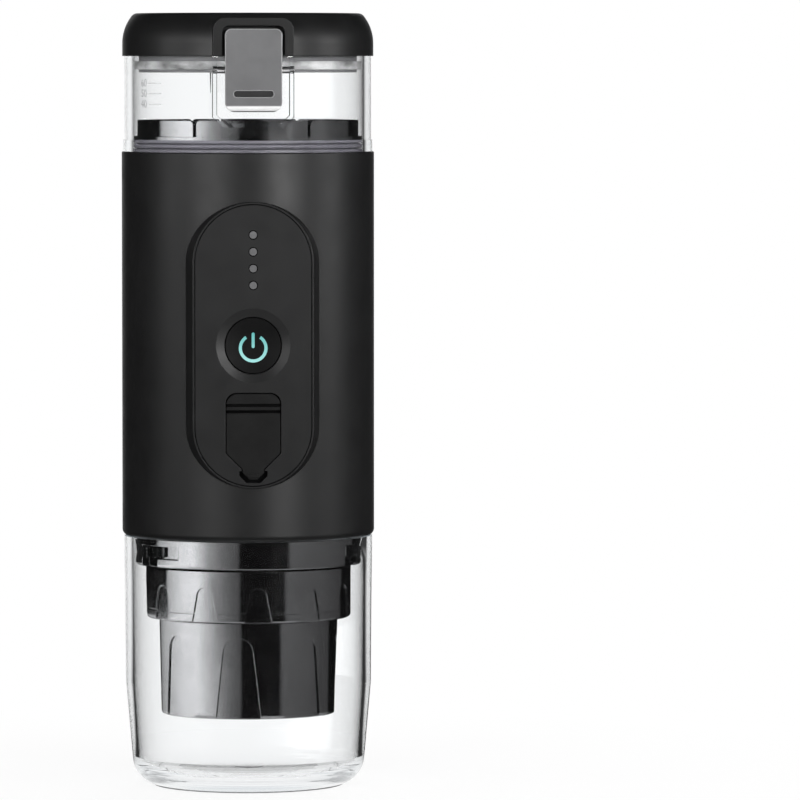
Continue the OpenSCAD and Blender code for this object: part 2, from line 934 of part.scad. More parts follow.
module gearbox_cover() {
  color(black) difference() {
    translate([0, 0, cover_z]) linear_extrude(cover_t) train_outline(train_r);
    bar_z(0, gear_y, axle_r + play, cover_z - over, cover_z + cover_t + over);
    bar_z(0, pump_y, motor_hole_r, cover_z - over, cover_z + cover_t + over);
  }
}

// Pump block: crank room, plunger bore, inlet nipple and outlet
module pump_block() {
  nipple_end = hose_x - hose_bend;
  color(black) difference() {
    union() {
      translate([0, 0, block_z]) linear_extrude(block_h) train_outline(train_r);
      bar_x(hose_y, crank_z, nipple_r, nipple_root, nipple_end);
    }
    bar_z(0, gear_y, crank_room_r, block_z + crank_floor, box_z + over);
    bar_y(0, crank_z, plunger_r + play, hose_y - nipple_r, gear_y);
    bar_z(0, outlet_y, outlet_r + play, block_z - over, crank_z);
    bar_x(hose_y, crank_z, nipple_bore_r, 0, nipple_end + over);
  }
}

// Plunger at the end of its stroke
module pump_plunger() {
  color(steel) bar_y(0, crank_z, plunger_r, outlet_y + plunger_end, gear_y - crank_r - crank_throw - gap);
}

// Steel tube from the pump into the brew head
module outlet_tube() {
  color(steel) translate([0, outlet_y, 0])
    ring(outlet_bore_r, outlet_r, zb - outlet_low, block_z + outlet_high);
}

// Hose from the tank down to the pump
module hose_section() {
  difference() {
    circle(hose_r);
    circle(hose_bore_r);
  }
}

module inlet_hose() {
  color(silicone) {
    translate([hose_x, hose_y, 0]) ring(hose_bore_r, hose_r, crank_z + hose_bend, deck_z - hose_drop);
    translate([hose_x - hose_bend, hose_y, crank_z + hose_bend]) rotate([90, 0, 0])
      rotate_extrude(angle = -90) translate([hose_bend, 0]) hose_section();
    translate([hose_x - hose_bend, hose_y, crank_z]) rotate([0, -90, 0])
      ring(hose_bore_r, hose_r, 0, hose_x - hose_bend - hose_end);
  }
}

// Fitting in the tank's floor with a hose tail
module tank_outlet() {
  plate_top = z_top + plate_t;
  color(black) difference() {
    union() {
      bar_z(hose_x, hose_y, fitting_r, plate_top, plate_top + fitting_t);
      bar_z(hose_x, hose_y, fitting_neck_r, deck_z + join, plate_top + join / 2);
      bar_z(hose_x, hose_y, fitting_tail_r, deck_z - fitting_tail, deck_z + 2 * join);
    }
    bar_z(hose_x, hose_y, fitting_bore_r, deck_z - fitting_tail - over, plate_top + fitting_t + over);
  }
}

// Brew head: base plate of the housing, bayonet ring for the cup and neck for the collar
module brew_head() {
  color(black) difference() {
    rotate_extrude() difference() {
      union() {
        translate([0, zb + head_lift]) square([body_ri - head_fit, block_z - zb - head_lift]);
        translate([0, head_z]) square([head_r, zb - head_z + join]);
        translate([0, neck_z]) square([neck_r, neck_up]);
      }
      corner_cut(head_r, head_z, head_edge_r, 1, -1);
      translate([plenum_r, neck_z + plenum_z]) square([neck_r - neck_wall - plenum_r, plenum_h]);
      translate([-over, neck_z - over]) square([neck_r - seal_w + over, plenum_z + over]);
    }
    for (a = lug_at) {
      sector(head_r - slot_deep, head_r + over, head_z - over, lug_z + lug_h + slot_gap, a, lug_w + slot_more);
      sector(head_r - slot_deep, head_r + over, lug_z - slot_gap, lug_z + lug_h + slot_gap,
        a + slot_turn / 2, lug_w + slot_more + slot_turn);
    }
    for (p = legs) {
      bar_z(p[0], p[1], screw_r + screw_fit, head_z - over, block_z + over);
      bar_z(p[0], p[1], screw_head_r + gap, head_z - over, zb + screw_sink);
    }
    bar_z(0, outlet_y, outlet_r + play, neck_z + join, block_z + over);
    bar_z(0, 0, shower_screw_r + screw_fit / 2, neck_z - over, neck_z + neck_up);
  }
}

// Screws up through the brew head into the chassis
module base_screws() {
  color(steel) for (p = legs) {
    bar_z(p[0], p[1], screw_head_r, zb + screw_sink - screw_head_h, zb + screw_sink);
    bar_z(p[0], p[1], screw_r, zb, foot_z + screw_in);
  }
}

// Perforated disc that spreads the water, and its screw
module shower_screen() {
  color(steel) difference() {
    bar_z(0, 0, neck_r - seal_w - screen_fit, neck_z + plenum_z - screen_t, neck_z + plenum_z);
    bar_z(0, 0, shower_screw_r + screw_fit, neck_z, neck_z + plenum_z + over);
    hole_rings(screen_rings, screen_pitch, screen_hole_r, neck_z, neck_z + plenum_z + over);
  }
}

module shower_screw() {
  head_top = neck_z + plenum_z - screen_t;
  color(steel) {
    bar_z(0, 0, shower_head_r, head_top - shower_head_h, head_top);
    bar_z(0, 0, shower_screw_r, head_top - join / 2, neck_z + shower_screw);
  }
}

// Deck that closes the housing and carries the tank's floor
module top_deck() {
  color(black) difference() {
    rotate_extrude() difference() {
      union() {
        translate([0, deck_z]) square([deck_r, deck_h]);
        translate([0, deck_z]) square([spigot_r, deck_h + flange_h]);
      }
      translate([-over, z_top]) square([plate_r + gap + over, flange_h + over]);
      translate([-over, deck_z + deck_floor]) square([plate_r - plate_rest + over, deck_h]);
      translate([spigot_r - seal_room, seal_z - seal_room_h / 2]) square([seal_room + over, seal_room_h]);
    }
    bar_z(hose_x, hose_y, fitting_hole_r, deck_z - over, z_top);
  }
}

// Steel floor of the tank with its heater
module heater_plate() {
  color(steel) difference() {
    bar_z(0, 0, plate_r, z_top, z_top + plate_t);
    bar_z(hose_x, hose_y, fitting_hole_r, z_top - over, z_top + plate_t + over);
  }
}

// Heat cut-out under the plate
module thermal_cutout() {
  color(grey) bar_z(cutout_x, cutout_y, cutout_r, deck_z + deck_floor, z_top);
}

// Ring of tabs round the tank's floor
module splash_ring() {
  rim_z = collar_z + splash_h;
  half = splash_slot / 2 + splash_round;
  color(black) difference() {
    rotate_extrude() {
      translate([splash_r - splash_t, collar_z]) square([splash_t, splash_h]);
      translate([splash_r - splash_t, collar_z]) square([spigot_r - splash_r + splash_t, splash_foot]);
    }
    for (i = [0 : splash_tabs - 1]) rotate([0, 0, (i + 0.5) * 360 / splash_tabs])
      front(-splash_r - over, -splash_r + 2 * splash_t) {
        translate([-splash_slot / 2, collar_z + splash_foot]) square([splash_slot, splash_h]);
        difference() {
          translate([-half, rim_z - splash_round]) square([2 * half, splash_round + over]);
          for (s = [-1, 1]) translate([s * half, rim_z - splash_round]) circle(splash_round);
        }
      }
  }
}

// Ring seal between deck and tank
module tank_seal() {
  color(silicone) rotate_extrude() translate([spigot_r - seal_room / 2, seal_z]) circle(seal_wire_r);
}

// Clear tank with the latch cradle in front and the hinge lugs behind
module cradle_outline(x, z1, z0, cut) {
  polygon([[-x, z1], [-x, z0 + cut], [-x + cut, z0], [x - cut, z0], [x, z0 + cut], [x, z1]]);
}

module tank() {
  cradle_foot = cradle_z - cradle_cut;
  color(clear) difference() {
    union() {
      ring(tank_ri, tank_r, z_top, z_seat);
      ring(tank_ri, tank_r + flange_out, z_top, collar_z);
      front(latch_y - cradle_out, -tank_ri + cradle_root) difference() {
        cradle_outline(rib_x1, cradle_top, cradle_foot, cradle_cut);
        cradle_outline(rib_x, z_seat + over, cradle_foot + cradle_floor, cradle_in);
      }
      for (x = [-lug_x, knuckle_x + gap]) across(x, x + lug_x - knuckle_x - gap) {
        translate([hinge_y, hinge_z]) circle(knuckle_r);
        polygon([[tank_ri - lug_root, hinge_z - lug_foot], [tank_r, hinge_z - lug_foot],
          [hinge_y + knuckle_r, hinge_z], [hinge_y, hinge_z + lug_up], [tank_ri - lug_root, hinge_z + lug_up]]);
      }
    }
    bar_z(0, 0, tank_ri, z_top - over, z_seat + over);
    bar_x(latch_y, latch_z, pin_r + play, -rib_x1 - over, rib_x1 + over);
    bar_x(hinge_y, hinge_z, pin_r + play, -lug_x - over, lug_x + over);
  }
}

// Steel pins
module latch_pin() {
  color(steel) bar_x(latch_y, latch_z, pin_r, -rib_x1, rib_x1);
}

module hinge_pin() {
  color(steel) bar_x(hinge_y, hinge_z, pin_r, -lug_x, lug_x);
}

// Torsion spring round the latch pin, one leg down the tank and one down the back of the latch
function coil_point(t) =
  let (a = coil_a0 + (coil_a1 - coil_a0) * t)
  [coil_l * (t - 0.5), latch_y + coil_r * cos(a), latch_z + coil_r * sin(a)];

function leg_dir(a) = [0, -sin(a), cos(a)];

spring_path = concat(
  [for (i = [leg_n : -1 : 1]) coil_point(0) - leg_dir(coil_a0) * leg_l * i / leg_n],
  [for (i = [0 : coil_n]) coil_point(i / coil_n)],
  [for (i = [1 : leg_n]) coil_point(1) + leg_dir(coil_a1) * leg_l * i / leg_n]);

spring_n = len(spring_path);

spring_gap = min([for (i = [0 : spring_n - 1], j = [i + coil_steps / 2 : 1 : spring_n - 1])
  norm(spring_path[i] - spring_path[j])]) - 2 * wire_r;

echo(spring_gap = spring_gap);

function along(i) =
  let (d = spring_path[min(i + 1, spring_n - 1)] - spring_path[max(i - 1, 0)]) d / norm(d);

function side(i) = let (s = cross(along(i), [1, 0, 0])) s / norm(s);

module latch_spring() {
  points = [for (i = [0 : spring_n - 1], k = [0 : wire_sides - 1])
    let (s = side(i), u = cross(along(i), s), a = 360 * k / wire_sides)
    spring_path[i] + wire_r * (s * cos(a) + u * sin(a))];
  sides = [for (i = [0 : spring_n - 2], k = [0 : wire_sides - 1])
    let (n = (k + 1) % wire_sides)
    [i * wire_sides + k, (i + 1) * wire_sides + k, (i + 1) * wire_sides + n, i * wire_sides + n]];
  ends = [[for (k = [0 : wire_sides - 1]) k],
    [for (k = [wire_sides - 1 : -1 : 0]) (spring_n - 1) * wire_sides + k]];
  color(steel) polyhedron(points, concat(sides, ends), convexity = 12);
}

// Lid: domed cap with the latch bracket in front and the hinge knuckle behind
module bracket_outline(w, z1, r) {
  translate([-w / 2, z_seat]) square([w, z1 - z_seat - r]);
  translate([-w / 2 + r, z_seat]) square([w - 2 * r, z1 - z_seat]);
  for (s = [-1, 1]) translate([s * (w / 2 - r), z1 - r]) circle(r);
}

// What the sloping shoulder and the top edge take off the lid's outer corner
module shoulder_cut() {
  inner = lid_curve_r - lid_edge_r;
  rise = lid_curve_h - lid_edge_r;
  run = sqrt(inner * inner - rise * rise);
  side = [2 * lid_edge_r * run / inner, 2 * lid_edge_r * rise / inner];
  up = [0, 2 * lid_edge_r];
  translate([lid_r - lid_curve_r, z_lid - lid_curve_h]) difference() {
    square([lid_curve_r + over, lid_curve_h + over]);
    circle(lid_curve_r);
  }
  translate([lid_r - lid_curve_r + run, z_lid - lid_edge_r]) difference() {
    polygon([[0, 0], side, side + up, up]);
    circle(lid_edge_r);
  }
}

module lid_shell() {
  root_y = lid_r - knuckle_root;
  color(black) difference() {
    union() {
      rotate_extrude() difference() {
        translate([0, z_seat]) square([lid_r, lid_h]);
        shoulder_cut();
      }
      difference() {
        front(bracket_y, -lid_r + bracket_root) bracket_outline(bracket_w, bracket_top, bracket_r);
        front(bracket_y - over, -lid_r - bracket_skin)
          bracket_outline(bracket_w - 2 * bracket_bar, bracket_top - bracket_top_bar, bracket_hole_r);
      }
      front(-lid_r - keeper_out, -lid_r + join)
        translate([-keeper_w / 2, keeper_z]) square([keeper_w, keeper_h]);
      across(-knuckle_x, knuckle_x) {
        translate([hinge_y, hinge_z]) circle(knuckle_r);
        polygon([[root_y, z_seat], [hinge_y - knuckle_r + knuckle_draft, z_seat],
          [hinge_y - knuckle_r, hinge_z],
          [hinge_y + knuckle_r, hinge_z], [hinge_y + knuckle_r, z_seat + knuckle_step],
          [hinge_y - knuckle_slope, z_seat + knuckle_up], [root_y, z_seat + knuckle_up]]);
      }
    }
    bar_z(0, 0, lid_ri, z_seat - over, z_seat + liner_t);
    bar_z(0, 0, lid_ri - lid_rest, z_seat, z_lid - lid_top_t);
    bar_x(hinge_y, hinge_z, pin_r + play, -knuckle_x - over, knuckle_x + over);
  }
}

// Plug under the lid
module lid_liner() {
  color(grey) rotate_extrude() difference() {
    union() {
      translate([0, z_seat - plug_h]) square([plug_r, plug_h + join]);
      translate([0, z_seat]) square([lid_ri - gap, liner_t]);
    }
    translate([-over, z_seat - plug_h + plug_floor]) square([plug_r - plug_wall + over, plug_h]);
    translate([plug_r - gasket_in, gasket_z]) square([gasket_in + over, gasket_h]);
  }
}

// Seal round the plug
module lid_gasket() {
  color(silicone) ring(plug_r - gasket_in, tank_ri - gasket_gap, gasket_z, gasket_z + gasket_h);
}

// Latch: rocking plate with ears on the pin, hook nose, finger groove and rounded foot
module latch_outline() {
  half = latch_w / 2;
  translate([-half, latch_z0 + latch_low_r]) square([latch_w, latch_h - latch_low_r - latch_corner]);
  translate([-half + latch_low_r, latch_z0]) square([latch_w - 2 * latch_low_r, latch_low_r + join]);
  translate([-half + latch_corner, latch_top - latch_corner - join])
    square([latch_w - 2 * latch_corner, latch_corner + join]);
  for (s = [-1, 1]) {
    translate([s * (half - latch_low_r), latch_z0 + latch_low_r]) circle(latch_low_r);
    translate([s * (half - latch_corner), latch_top - latch_corner]) circle(latch_corner);
  }
}

module latch() {
  root_y = latch_back - join / 2;
  color(grey) difference() {
    union() {
      front(latch_front, latch_back) latch_outline();
      for (s = [-1, 1]) across(s * ear_x - ear_t / 2, s * ear_x + ear_t / 2) {
        translate([latch_y, latch_z]) circle(ear_r);
        translate([root_y, latch_z - ear_r]) square([latch_y - root_y, 2 * ear_r]);
      }
      front(root_y, -lid_r - keeper_out - gap) translate([-nose_w / 2, nose_z]) square([nose_w, nose_h]);
    }
    bar_x(latch_y, latch_z, pin_r + play, -latch_w, latch_w);
    across(-latch_w, latch_w) corner_cut(latch_front, latch_z0, latch_lip_r, -1, -1);
    front(latch_front - over, latch_front + grip_deep)
      round_box(-grip_w / 2, latch_z0 + grip_z, grip_w / 2, latch_z0 + grip_z + grip_h, grip_r);
  }
}

// Power button: hollow cap, retaining flange and stem
module power_button() {
  lip_y = panel_back + button_lip_gap;
  color(black) difference() {
    union() {
      bar_y(0, button_z, button_d / 2, panel_y, panel_back + join);
      bar_y(0, button_z, button_d / 2 + button_lip, lip_y, lip_y + button_lip_t);
      bar_y(0, button_z, button_stem_r, panel_back + join, switch_y - button_travel - button_air);
    }
    dish();
  }
}

// Gear wheel outline with n teeth
function involute(a) = tan(a) * 180 / PI - a;

function tooth_half(r, n) =
  let (rb = n * tooth_m / 2 * cos(press_a))
  90 / n - tooth_slack / n + involute(press_a) - (r > rb ? involute(acos(rb / r)) : 0);

function tooth_polar(rr, rs, n) = concat(
  [[rr, -tooth_half(rs[0], n) - root_turn]],
  [for (r = rs) [r, -tooth_half(r, n)]],
  [for (i = [tooth_steps : -1 : 0]) [rs[i], tooth_half(rs[i], n)]],
  [[rr, tooth_half(rs[0], n) + root_turn]]);

module gear_outline(n) {
  rp = n * tooth_m / 2;
  rr = rp - tooth_root * tooth_m;
  ra = rp + tooth_head * tooth_m;
  low = max(rr + root_air, rp * flank_low);
  rs = [for (i = [0 : tooth_steps]) low + (ra - low) * i / tooth_steps];
  polygon([for (k = [0 : n - 1], q = tooth_polar(rr, rs, n))
    [q[0] * cos(q[1] + 360 * k / n), q[0] * sin(q[1] + 360 * k / n)]]);
}

// Pinion on the motor shaft
module motor_pinion() {
  color(steel) {
    translate([0, pump_y, box_z + pinion_up]) rotate([0, 0, 180 / pinion_n])
      linear_extrude(pinion_h) gear_outline(pinion_n);
    bar_z(0, pump_y, shaft_r, box_z + shaft_low, motor_z + shaft_in);
  }
}

// Driven gear with the crank disc below it
module drive_gear() {
  color(silicone) {
    translate([0, gear_y, box_z + gear_up]) linear_extrude(gear_h) gear_outline(gear_n);
    bar_z(0, gear_y, axle_r, block_z + axle_low, cover_z + axle_high);
    bar_z(crank_throw, gear_y, crank_r, crank_z - crank_h / 2, crank_z + crank_h / 2);
  }
}

// Seal that travels with the collar
module holder_seal() {
  color(silicone) ring(neck_r - seal_w, neck_r, web_z + web_t, neck_z - seal_air);
}

// Collar: grip ring on the brew head's neck
module brew_collar() {
  color(black) difference() {
    rotate_extrude() difference() {
      translate([0, collar_bot]) square([collar_r, collar_top - collar_bot]);
      corner_cut(collar_r, collar_bot, collar_low_r, 1, -1);
      corner_cut(collar_r, collar_top, collar_high_r, 1, 1);
      translate([-over, web_z + web_t]) square([neck_r + gap + over, collar_h]);
      translate([-over, collar_bot - over]) square([spout_r + gap + over, web_z - collar_bot + over]);
      translate([-over, collar_bot]) square([neck_r - seal_w + over, collar_h]);
      translate([collar_r - collar_line_deep, collar_bot + collar_line])
        square([collar_line_deep + over, collar_line_h]);
    }
    for (i = [0 : collar_flutes - 1]) rotate([0, 0, collar_flute_turn + 360 * i / collar_flutes]) difference() {
      front(-collar_r - over, -collar_r + flute_cut)
        arch(collar_flute_w, collar_flute_foot, collar_bot - over, collar_bot + collar_flute_h);
      bar_z(0, 0, collar_r - flute_deep, collar_bot - 2 * over, collar_top + over);
    }
  }
}

// Seal that travels with the basket
module basket_seal() {
  color(silicone) ring(chamber_r + gap, spout_r - basket_seal_fit, basket_seal_z, web_z - gap);
}

// Basket: fluted coffee holder with its outlet
module coffee_basket() {
  edge_z = basket_bot + basket_edge;
  color(black) difference() {
    union() {
      difference() {
        rotate_extrude() difference() {
          polygon([[0, basket_bot], [basket_low_r, basket_bot], [basket_r, basket_top], [0, basket_top]]);
          polygon([[basket_low_r - basket_edge, basket_bot - over], [basket_r + over, basket_bot - over],
            [basket_r + over, edge_z], [basket_low_r, edge_z],
            [basket_low_r - basket_edge_in, basket_bot + basket_edge_in],
            [basket_low_r - basket_edge, basket_bot]]);
        }
        bar_z(0, 0, basket_low_r - basket_rim, basket_bot - over, chamber_z - chamber_floor);
      }
      bar_z(0, 0, spout_r, basket_top - join, basket_seal_z);
      bar_z(0, 0, nozzle_r, basket_bot + nozzle_up, chamber_z - join);
    }
    bar_z(0, 0, chamber_r, chamber_z + filter_seat, basket_seal_z + over);
    bar_z(0, 0, chamber_r - chamber_step, chamber_z, chamber_z + join);
    bar_z(0, 0, nozzle_bore_r, basket_bot - over, chamber_z + over);
    for (i = [0 : basket_flutes - 1]) rotate([0, 0, basket_flute_turn + 360 * i / basket_flutes]) difference() {
      front(-basket_r - over, -basket_r + flute_cut)
        arch(basket_flute_w, basket_flute_foot, basket_bot - over, basket_top - basket_flute_top);
      translate([0, 0, basket_bot])
        cylinder(r1 = basket_low_r - flute_deep, r2 = basket_r - flute_deep, h = basket_h);
      bar_z(0, 0, basket_low_r - flute_deep, basket_bot - 2 * over, basket_bot + join / 2);
    }
  }
}

// Perforated disc at the bottom of the basket
module basket_filter() {
  filter_top = chamber_z + filter_seat + filter_t;
  color(steel) difference() {
    bar_z(0, 0, chamber_r - filter_fit, chamber_z + filter_seat, filter_top);
    hole_rings(filter_rings, filter_pitch, filter_hole_r, chamber_z, filter_top + over);
  }
}

cup();
body_shell();
control_panel();
light_guide();
flap_anchor();
usb_port();
usb_tongue();
main_board();
tact_switch();
led_chips();
board_screws();
chassis();
battery_cells();
cell_cap();
cap_screws();
pump_motor();
gearbox();
gearbox_cover();
pump_block();
pump_plunger();
outlet_tube();
inlet_hose();
tank_outlet();
brew_head();
base_screws();
shower_screen();
shower_screw();
top_deck();
heater_plate();
thermal_cutout();
splash_ring();
tank_seal();
tank();
latch_pin();
hinge_pin();
latch_spring();
lid_shell();
lid_liner();
lid_gasket();
latch();
power_button();
port_flap();
motor_pinion();
drive_gear();
holder_seal();
brew_collar();
basket_seal();
coffee_basket();
basket_filter();
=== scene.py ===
"""Looks of a portable espresso maker: finishes, marks, spring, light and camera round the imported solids."""

import json
import math

import bmesh
import bpy
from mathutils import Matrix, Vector


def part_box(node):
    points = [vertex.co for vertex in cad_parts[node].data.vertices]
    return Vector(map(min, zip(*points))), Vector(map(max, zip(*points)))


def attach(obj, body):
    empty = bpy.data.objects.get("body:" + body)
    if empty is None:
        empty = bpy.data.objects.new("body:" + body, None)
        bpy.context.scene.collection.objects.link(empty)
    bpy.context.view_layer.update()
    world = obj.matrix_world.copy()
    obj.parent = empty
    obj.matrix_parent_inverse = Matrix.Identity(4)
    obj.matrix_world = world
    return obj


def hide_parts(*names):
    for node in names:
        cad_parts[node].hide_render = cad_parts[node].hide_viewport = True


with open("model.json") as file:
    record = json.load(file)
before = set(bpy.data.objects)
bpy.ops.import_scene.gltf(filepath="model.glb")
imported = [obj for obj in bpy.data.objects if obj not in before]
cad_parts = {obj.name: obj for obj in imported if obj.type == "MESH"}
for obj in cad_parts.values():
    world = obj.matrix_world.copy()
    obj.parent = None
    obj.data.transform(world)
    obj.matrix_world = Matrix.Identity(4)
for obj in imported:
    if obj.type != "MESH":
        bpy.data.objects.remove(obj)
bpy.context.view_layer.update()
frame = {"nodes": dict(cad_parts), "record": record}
scene = bpy.context.scene
scene.view_settings.view_transform = "Standard"
MM = 0.001

# Boxes of solids that several sections measure from
panel_low, panel_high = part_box("control_panel")
button_low, button_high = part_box("power_button")
strip_low, strip_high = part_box("flap_anchor")

# Light counts its turns in whole numbers, so these tell one, two and three turns from fewer
ONCE = 0.5
TWICE = 1.5
THRICE = 2.5

# Places of a mix node's sockets where it mixes colours
MIX_FACTOR = 0
MIX_FIRST = 6
MIX_SECOND = 7
MIX_RESULT = 2


# Node helpers
class Nodes:
    """A node tree with short calls for making and joining nodes."""

    def __init__(self, tree):
        self.tree = tree

    def node(self, kind, **values):
        """Node of a kind, with values for its sockets or settings."""
        made = self.tree.nodes.new(kind)
        for key, value in values.items():
            if key in made.inputs:
                made.inputs[key].default_value = value
            else:
                setattr(made, key, value)
        return made

    def link(self, a, b):
        self.tree.links.new(a, b)

    def math(self, operation, a, b=None):
        """Socket with an operation's result for sockets or numbers."""
        made = self.node("ShaderNodeMath", operation=operation)
        for place, value in zip(made.inputs, (a, b)):
            if isinstance(value, (int, float)):
                place.default_value = value
            elif value is not None:
                self.link(value, place)
        return made.outputs["Value"]

    def all_of(self, first, *others):
        """Socket that is 1 where every given socket is 1."""
        for other in others:
            first = self.math("MULTIPLY", first, other)
        return first

    def span(self, value, start, end, low=0.0, high=1.0):
        """Socket running from low where a value is start to high where it is end."""
        made = self.node("ShaderNodeMapRange")
        for key, level in (("From Min", start), ("From Max", end), ("To Min", low), ("To Max", high)):
            made.inputs[key].default_value = level
        self.link(value, made.inputs["Value"])
        return made.outputs["Result"]

    def blend(self, fac, a, b):
        """Socket with two shaders mixed by a socket."""
        made = self.node("ShaderNodeMixShader")
        self.link(fac, made.inputs["Fac"])
        self.link(a, made.inputs[1])
        self.link(b, made.inputs[2])
        return made.outputs["Shader"]

    def ramp(self, value, stops):
        """Colour socket running through (position, grey level) stops."""
        made = self.node("ShaderNodeValToRGB")
        points = made.color_ramp.elements
        while len(points) < len(stops):
            points.new(0.5)
        for point, (place, level) in zip(points, stops):
            point.position = place
        for point, (place, level) in zip(points, stops):
            point.color = (level, level, level, 1.0)
        self.link(value, made.inputs["Fac"])
        return made.outputs["Color"]

    def round_the_object(self, direction, stops):
        """Colour socket that follows the bearing of a vector, in degrees to the right of the front."""
        split = self.node("ShaderNodeSeparateXYZ")
        self.link(direction, split.inputs["Vector"])
        turn = self.math("ARCTAN2", split.outputs["X"], self.math("MULTIPLY", split.outputs["Y"], -1.0))
        share = self.math("ADD", self.math("DIVIDE", turn, 2 * math.pi), 0.5)
        return self.ramp(share, [(degrees / 360 + 0.5, level) for degrees, level in stops])


# Materials
NOISE_RANGE = (0.3, 0.7)
NOISE_DETAIL = 3.0
EDGE_SAMPLES = 4
EDGE_TURN = (0.995, 0.9)
GRAIN_DEPTH = 0.03 * MM
EVEN = (1, 1, 1)


class Paint(Nodes):
    """A material with one Principled shader and the nodes that vary it over the surface."""

    def __init__(self, name, color, roughness, metallic=0.0, **sockets):
        self.mat = bpy.data.materials.new(name)
        self.mat.use_nodes = True
        super().__init__(self.mat.node_tree)
        self.bsdf = self.tree.nodes["Principled BSDF"]
        self.out = self.tree.nodes["Material Output"]
        self.bsdf.inputs["Base Color"].default_value = (*color, 1.0)
        self.bsdf.inputs["Roughness"].default_value = roughness
        self.bsdf.inputs["Metallic"].default_value = metallic
        for key, value in sockets.items():
            self.bsdf.inputs[key.replace("_", " ")].default_value = value
        self.coords = self.node("ShaderNodeTexCoord")
        self.normal = None

    def noise(self, scale, stretch):
        """Noise of about 1 / scale metres, drawn out along an axis by stretch."""
        mapping = self.node("ShaderNodeMapping", Scale=stretch)
        texture = self.node("ShaderNodeTexNoise", Scale=scale, Detail=NOISE_DETAIL)
        self.link(self.coords.outputs["Object"], mapping.inputs["Vector"])
        self.link(mapping.outputs["Vector"], texture.inputs["Vector"])
        return texture.outputs["Fac"]

    def tint(self, low, high, scale, stretch=EVEN):
        """Base colour drifting between two shades."""
        drift = self.node("ShaderNodeValToRGB")
        for stop, place, color in zip(drift.color_ramp.elements, NOISE_RANGE, (low, high)):
            stop.position = place
            stop.color = (*color, 1.0)
        self.link(self.noise(scale, stretch), drift.inputs["Fac"])
        self.link(drift.outputs["Color"], self.bsdf.inputs["Base Color"])
        return self

    def gloss(self, low, high, scale, stretch=EVEN):
        """Roughness drifting between two values."""
        drift = self.span(self.noise(scale, stretch), *NOISE_RANGE, low, high)
        self.link(drift, self.bsdf.inputs["Roughness"])
        return self

    def rounded(self, radius):
        """Socket with the normal of edges rounded by a radius in millimetres."""
        soft = self.node("ShaderNodeBevel", samples=EDGE_SAMPLES, Radius=radius * MM)
        return soft.outputs["Normal"]

    def use_normal(self, socket):
        self.normal = socket
        self.link(socket, self.bsdf.inputs["Normal"])
        return self

    def edge(self, radius):
        """Edges that catch the light as if they were rounded, radius in millimetres."""
        return self.use_normal(self.rounded(radius))

    def grain(self, scale, strength, stretch=EVEN):
        """Fine relief of the moulded or brushed surface, over the rounded edges if there are any."""
        bump = self.node("ShaderNodeBump", Strength=strength, Distance=GRAIN_DEPTH)
        self.link(self.noise(scale, stretch), bump.inputs["Height"])
        if self.normal:
            self.link(self.normal, bump.inputs["Normal"])
        return self.use_normal(bump.outputs["Normal"])

    def recolour(self, place, color):
        """Another base colour where the place socket is 1."""
        mix = self.node("ShaderNodeMix", data_type="RGBA")
        base = self.bsdf.inputs["Base Color"]
        self.link(place, mix.inputs[MIX_FACTOR])
        self.link(base.links[0].from_socket, mix.inputs[MIX_FIRST])
        mix.inputs[MIX_SECOND].default_value = (*color, 1.0)
        self.link(mix.outputs[MIX_RESULT], base)

    def paint_shade(self, place):
        """Painted shade: no shine where the place socket is 1."""
        self.link(self.span(place, 0.0, 1.0, 1.0, 0.0), self.bsdf.inputs["Specular Tint"])

    def along(self, axis):
        """Socket with the place in metres along an axis in the frame of the piece."""
        split = self.node("ShaderNodeSeparateXYZ")
        self.link(self.coords.outputs["Object"], split.inputs["Vector"])
        return split.outputs[axis]

    def fade(self, value, edge, band):
        """Socket rising from 0 to 1 over a band, given in millimetres from an edge."""
        start, end = band
        return self.span(value, edge + start * MM, edge + end * MM)

    def rim(self, radius):
        """Socket that rises to 1 within radius millimetres of an edge."""
        soft = self.rounded(radius)
        flat = self.node("ShaderNodeNewGeometry").outputs["Normal"]
        turn = self.node("ShaderNodeVectorMath", operation="DOT_PRODUCT")
        self.link(soft, turn.inputs[0])
        self.link(flat, turn.inputs[1])
        return self.span(turn.outputs["Value"], *EDGE_TURN)


def soft_black(name):
    """Fine matt black of the housing."""
    paint = Paint(name, (0.005, 0.005, 0.005), 0.42, Specular_IOR_Level=0.4)
    paint.tint((0.0038, 0.0038, 0.004), (0.0058, 0.0058, 0.006), 90).gloss(0.38, 0.45, 160)
    return paint.edge(0.3).grain(5200, 0.12)


BLACK = soft_black("soft_black")

# Painted shade: the panel's pocket loses its shine, standing in for the shade that lies in it
# Bands are in millimetres behind the panel's face and above the port cover's strip
POCKET_DEEP = (0.5, 0.9)
POCKET_TOP = (1.0, 0.5)
PANEL = soft_black("panel_black")
pocket_deep = PANEL.fade(PANEL.along("Y"), panel_low.y, POCKET_DEEP)
pocket_top = PANEL.fade(PANEL.along("Z"), strip_high.z, POCKET_TOP)
PANEL.paint_shade(PANEL.all_of(pocket_deep, pocket_top))

# Brew head, collar, basket and other shiny black mouldings
GLOSS = Paint("polished_black", (0.3, 0.3, 0.305), 0.08, 1.0)
GLOSS.tint((0.27, 0.27, 0.275), (0.33, 0.33, 0.335), 60).gloss(0.06, 0.1, 140)
GLOSS.edge(0.25).grain(900, 0.04)
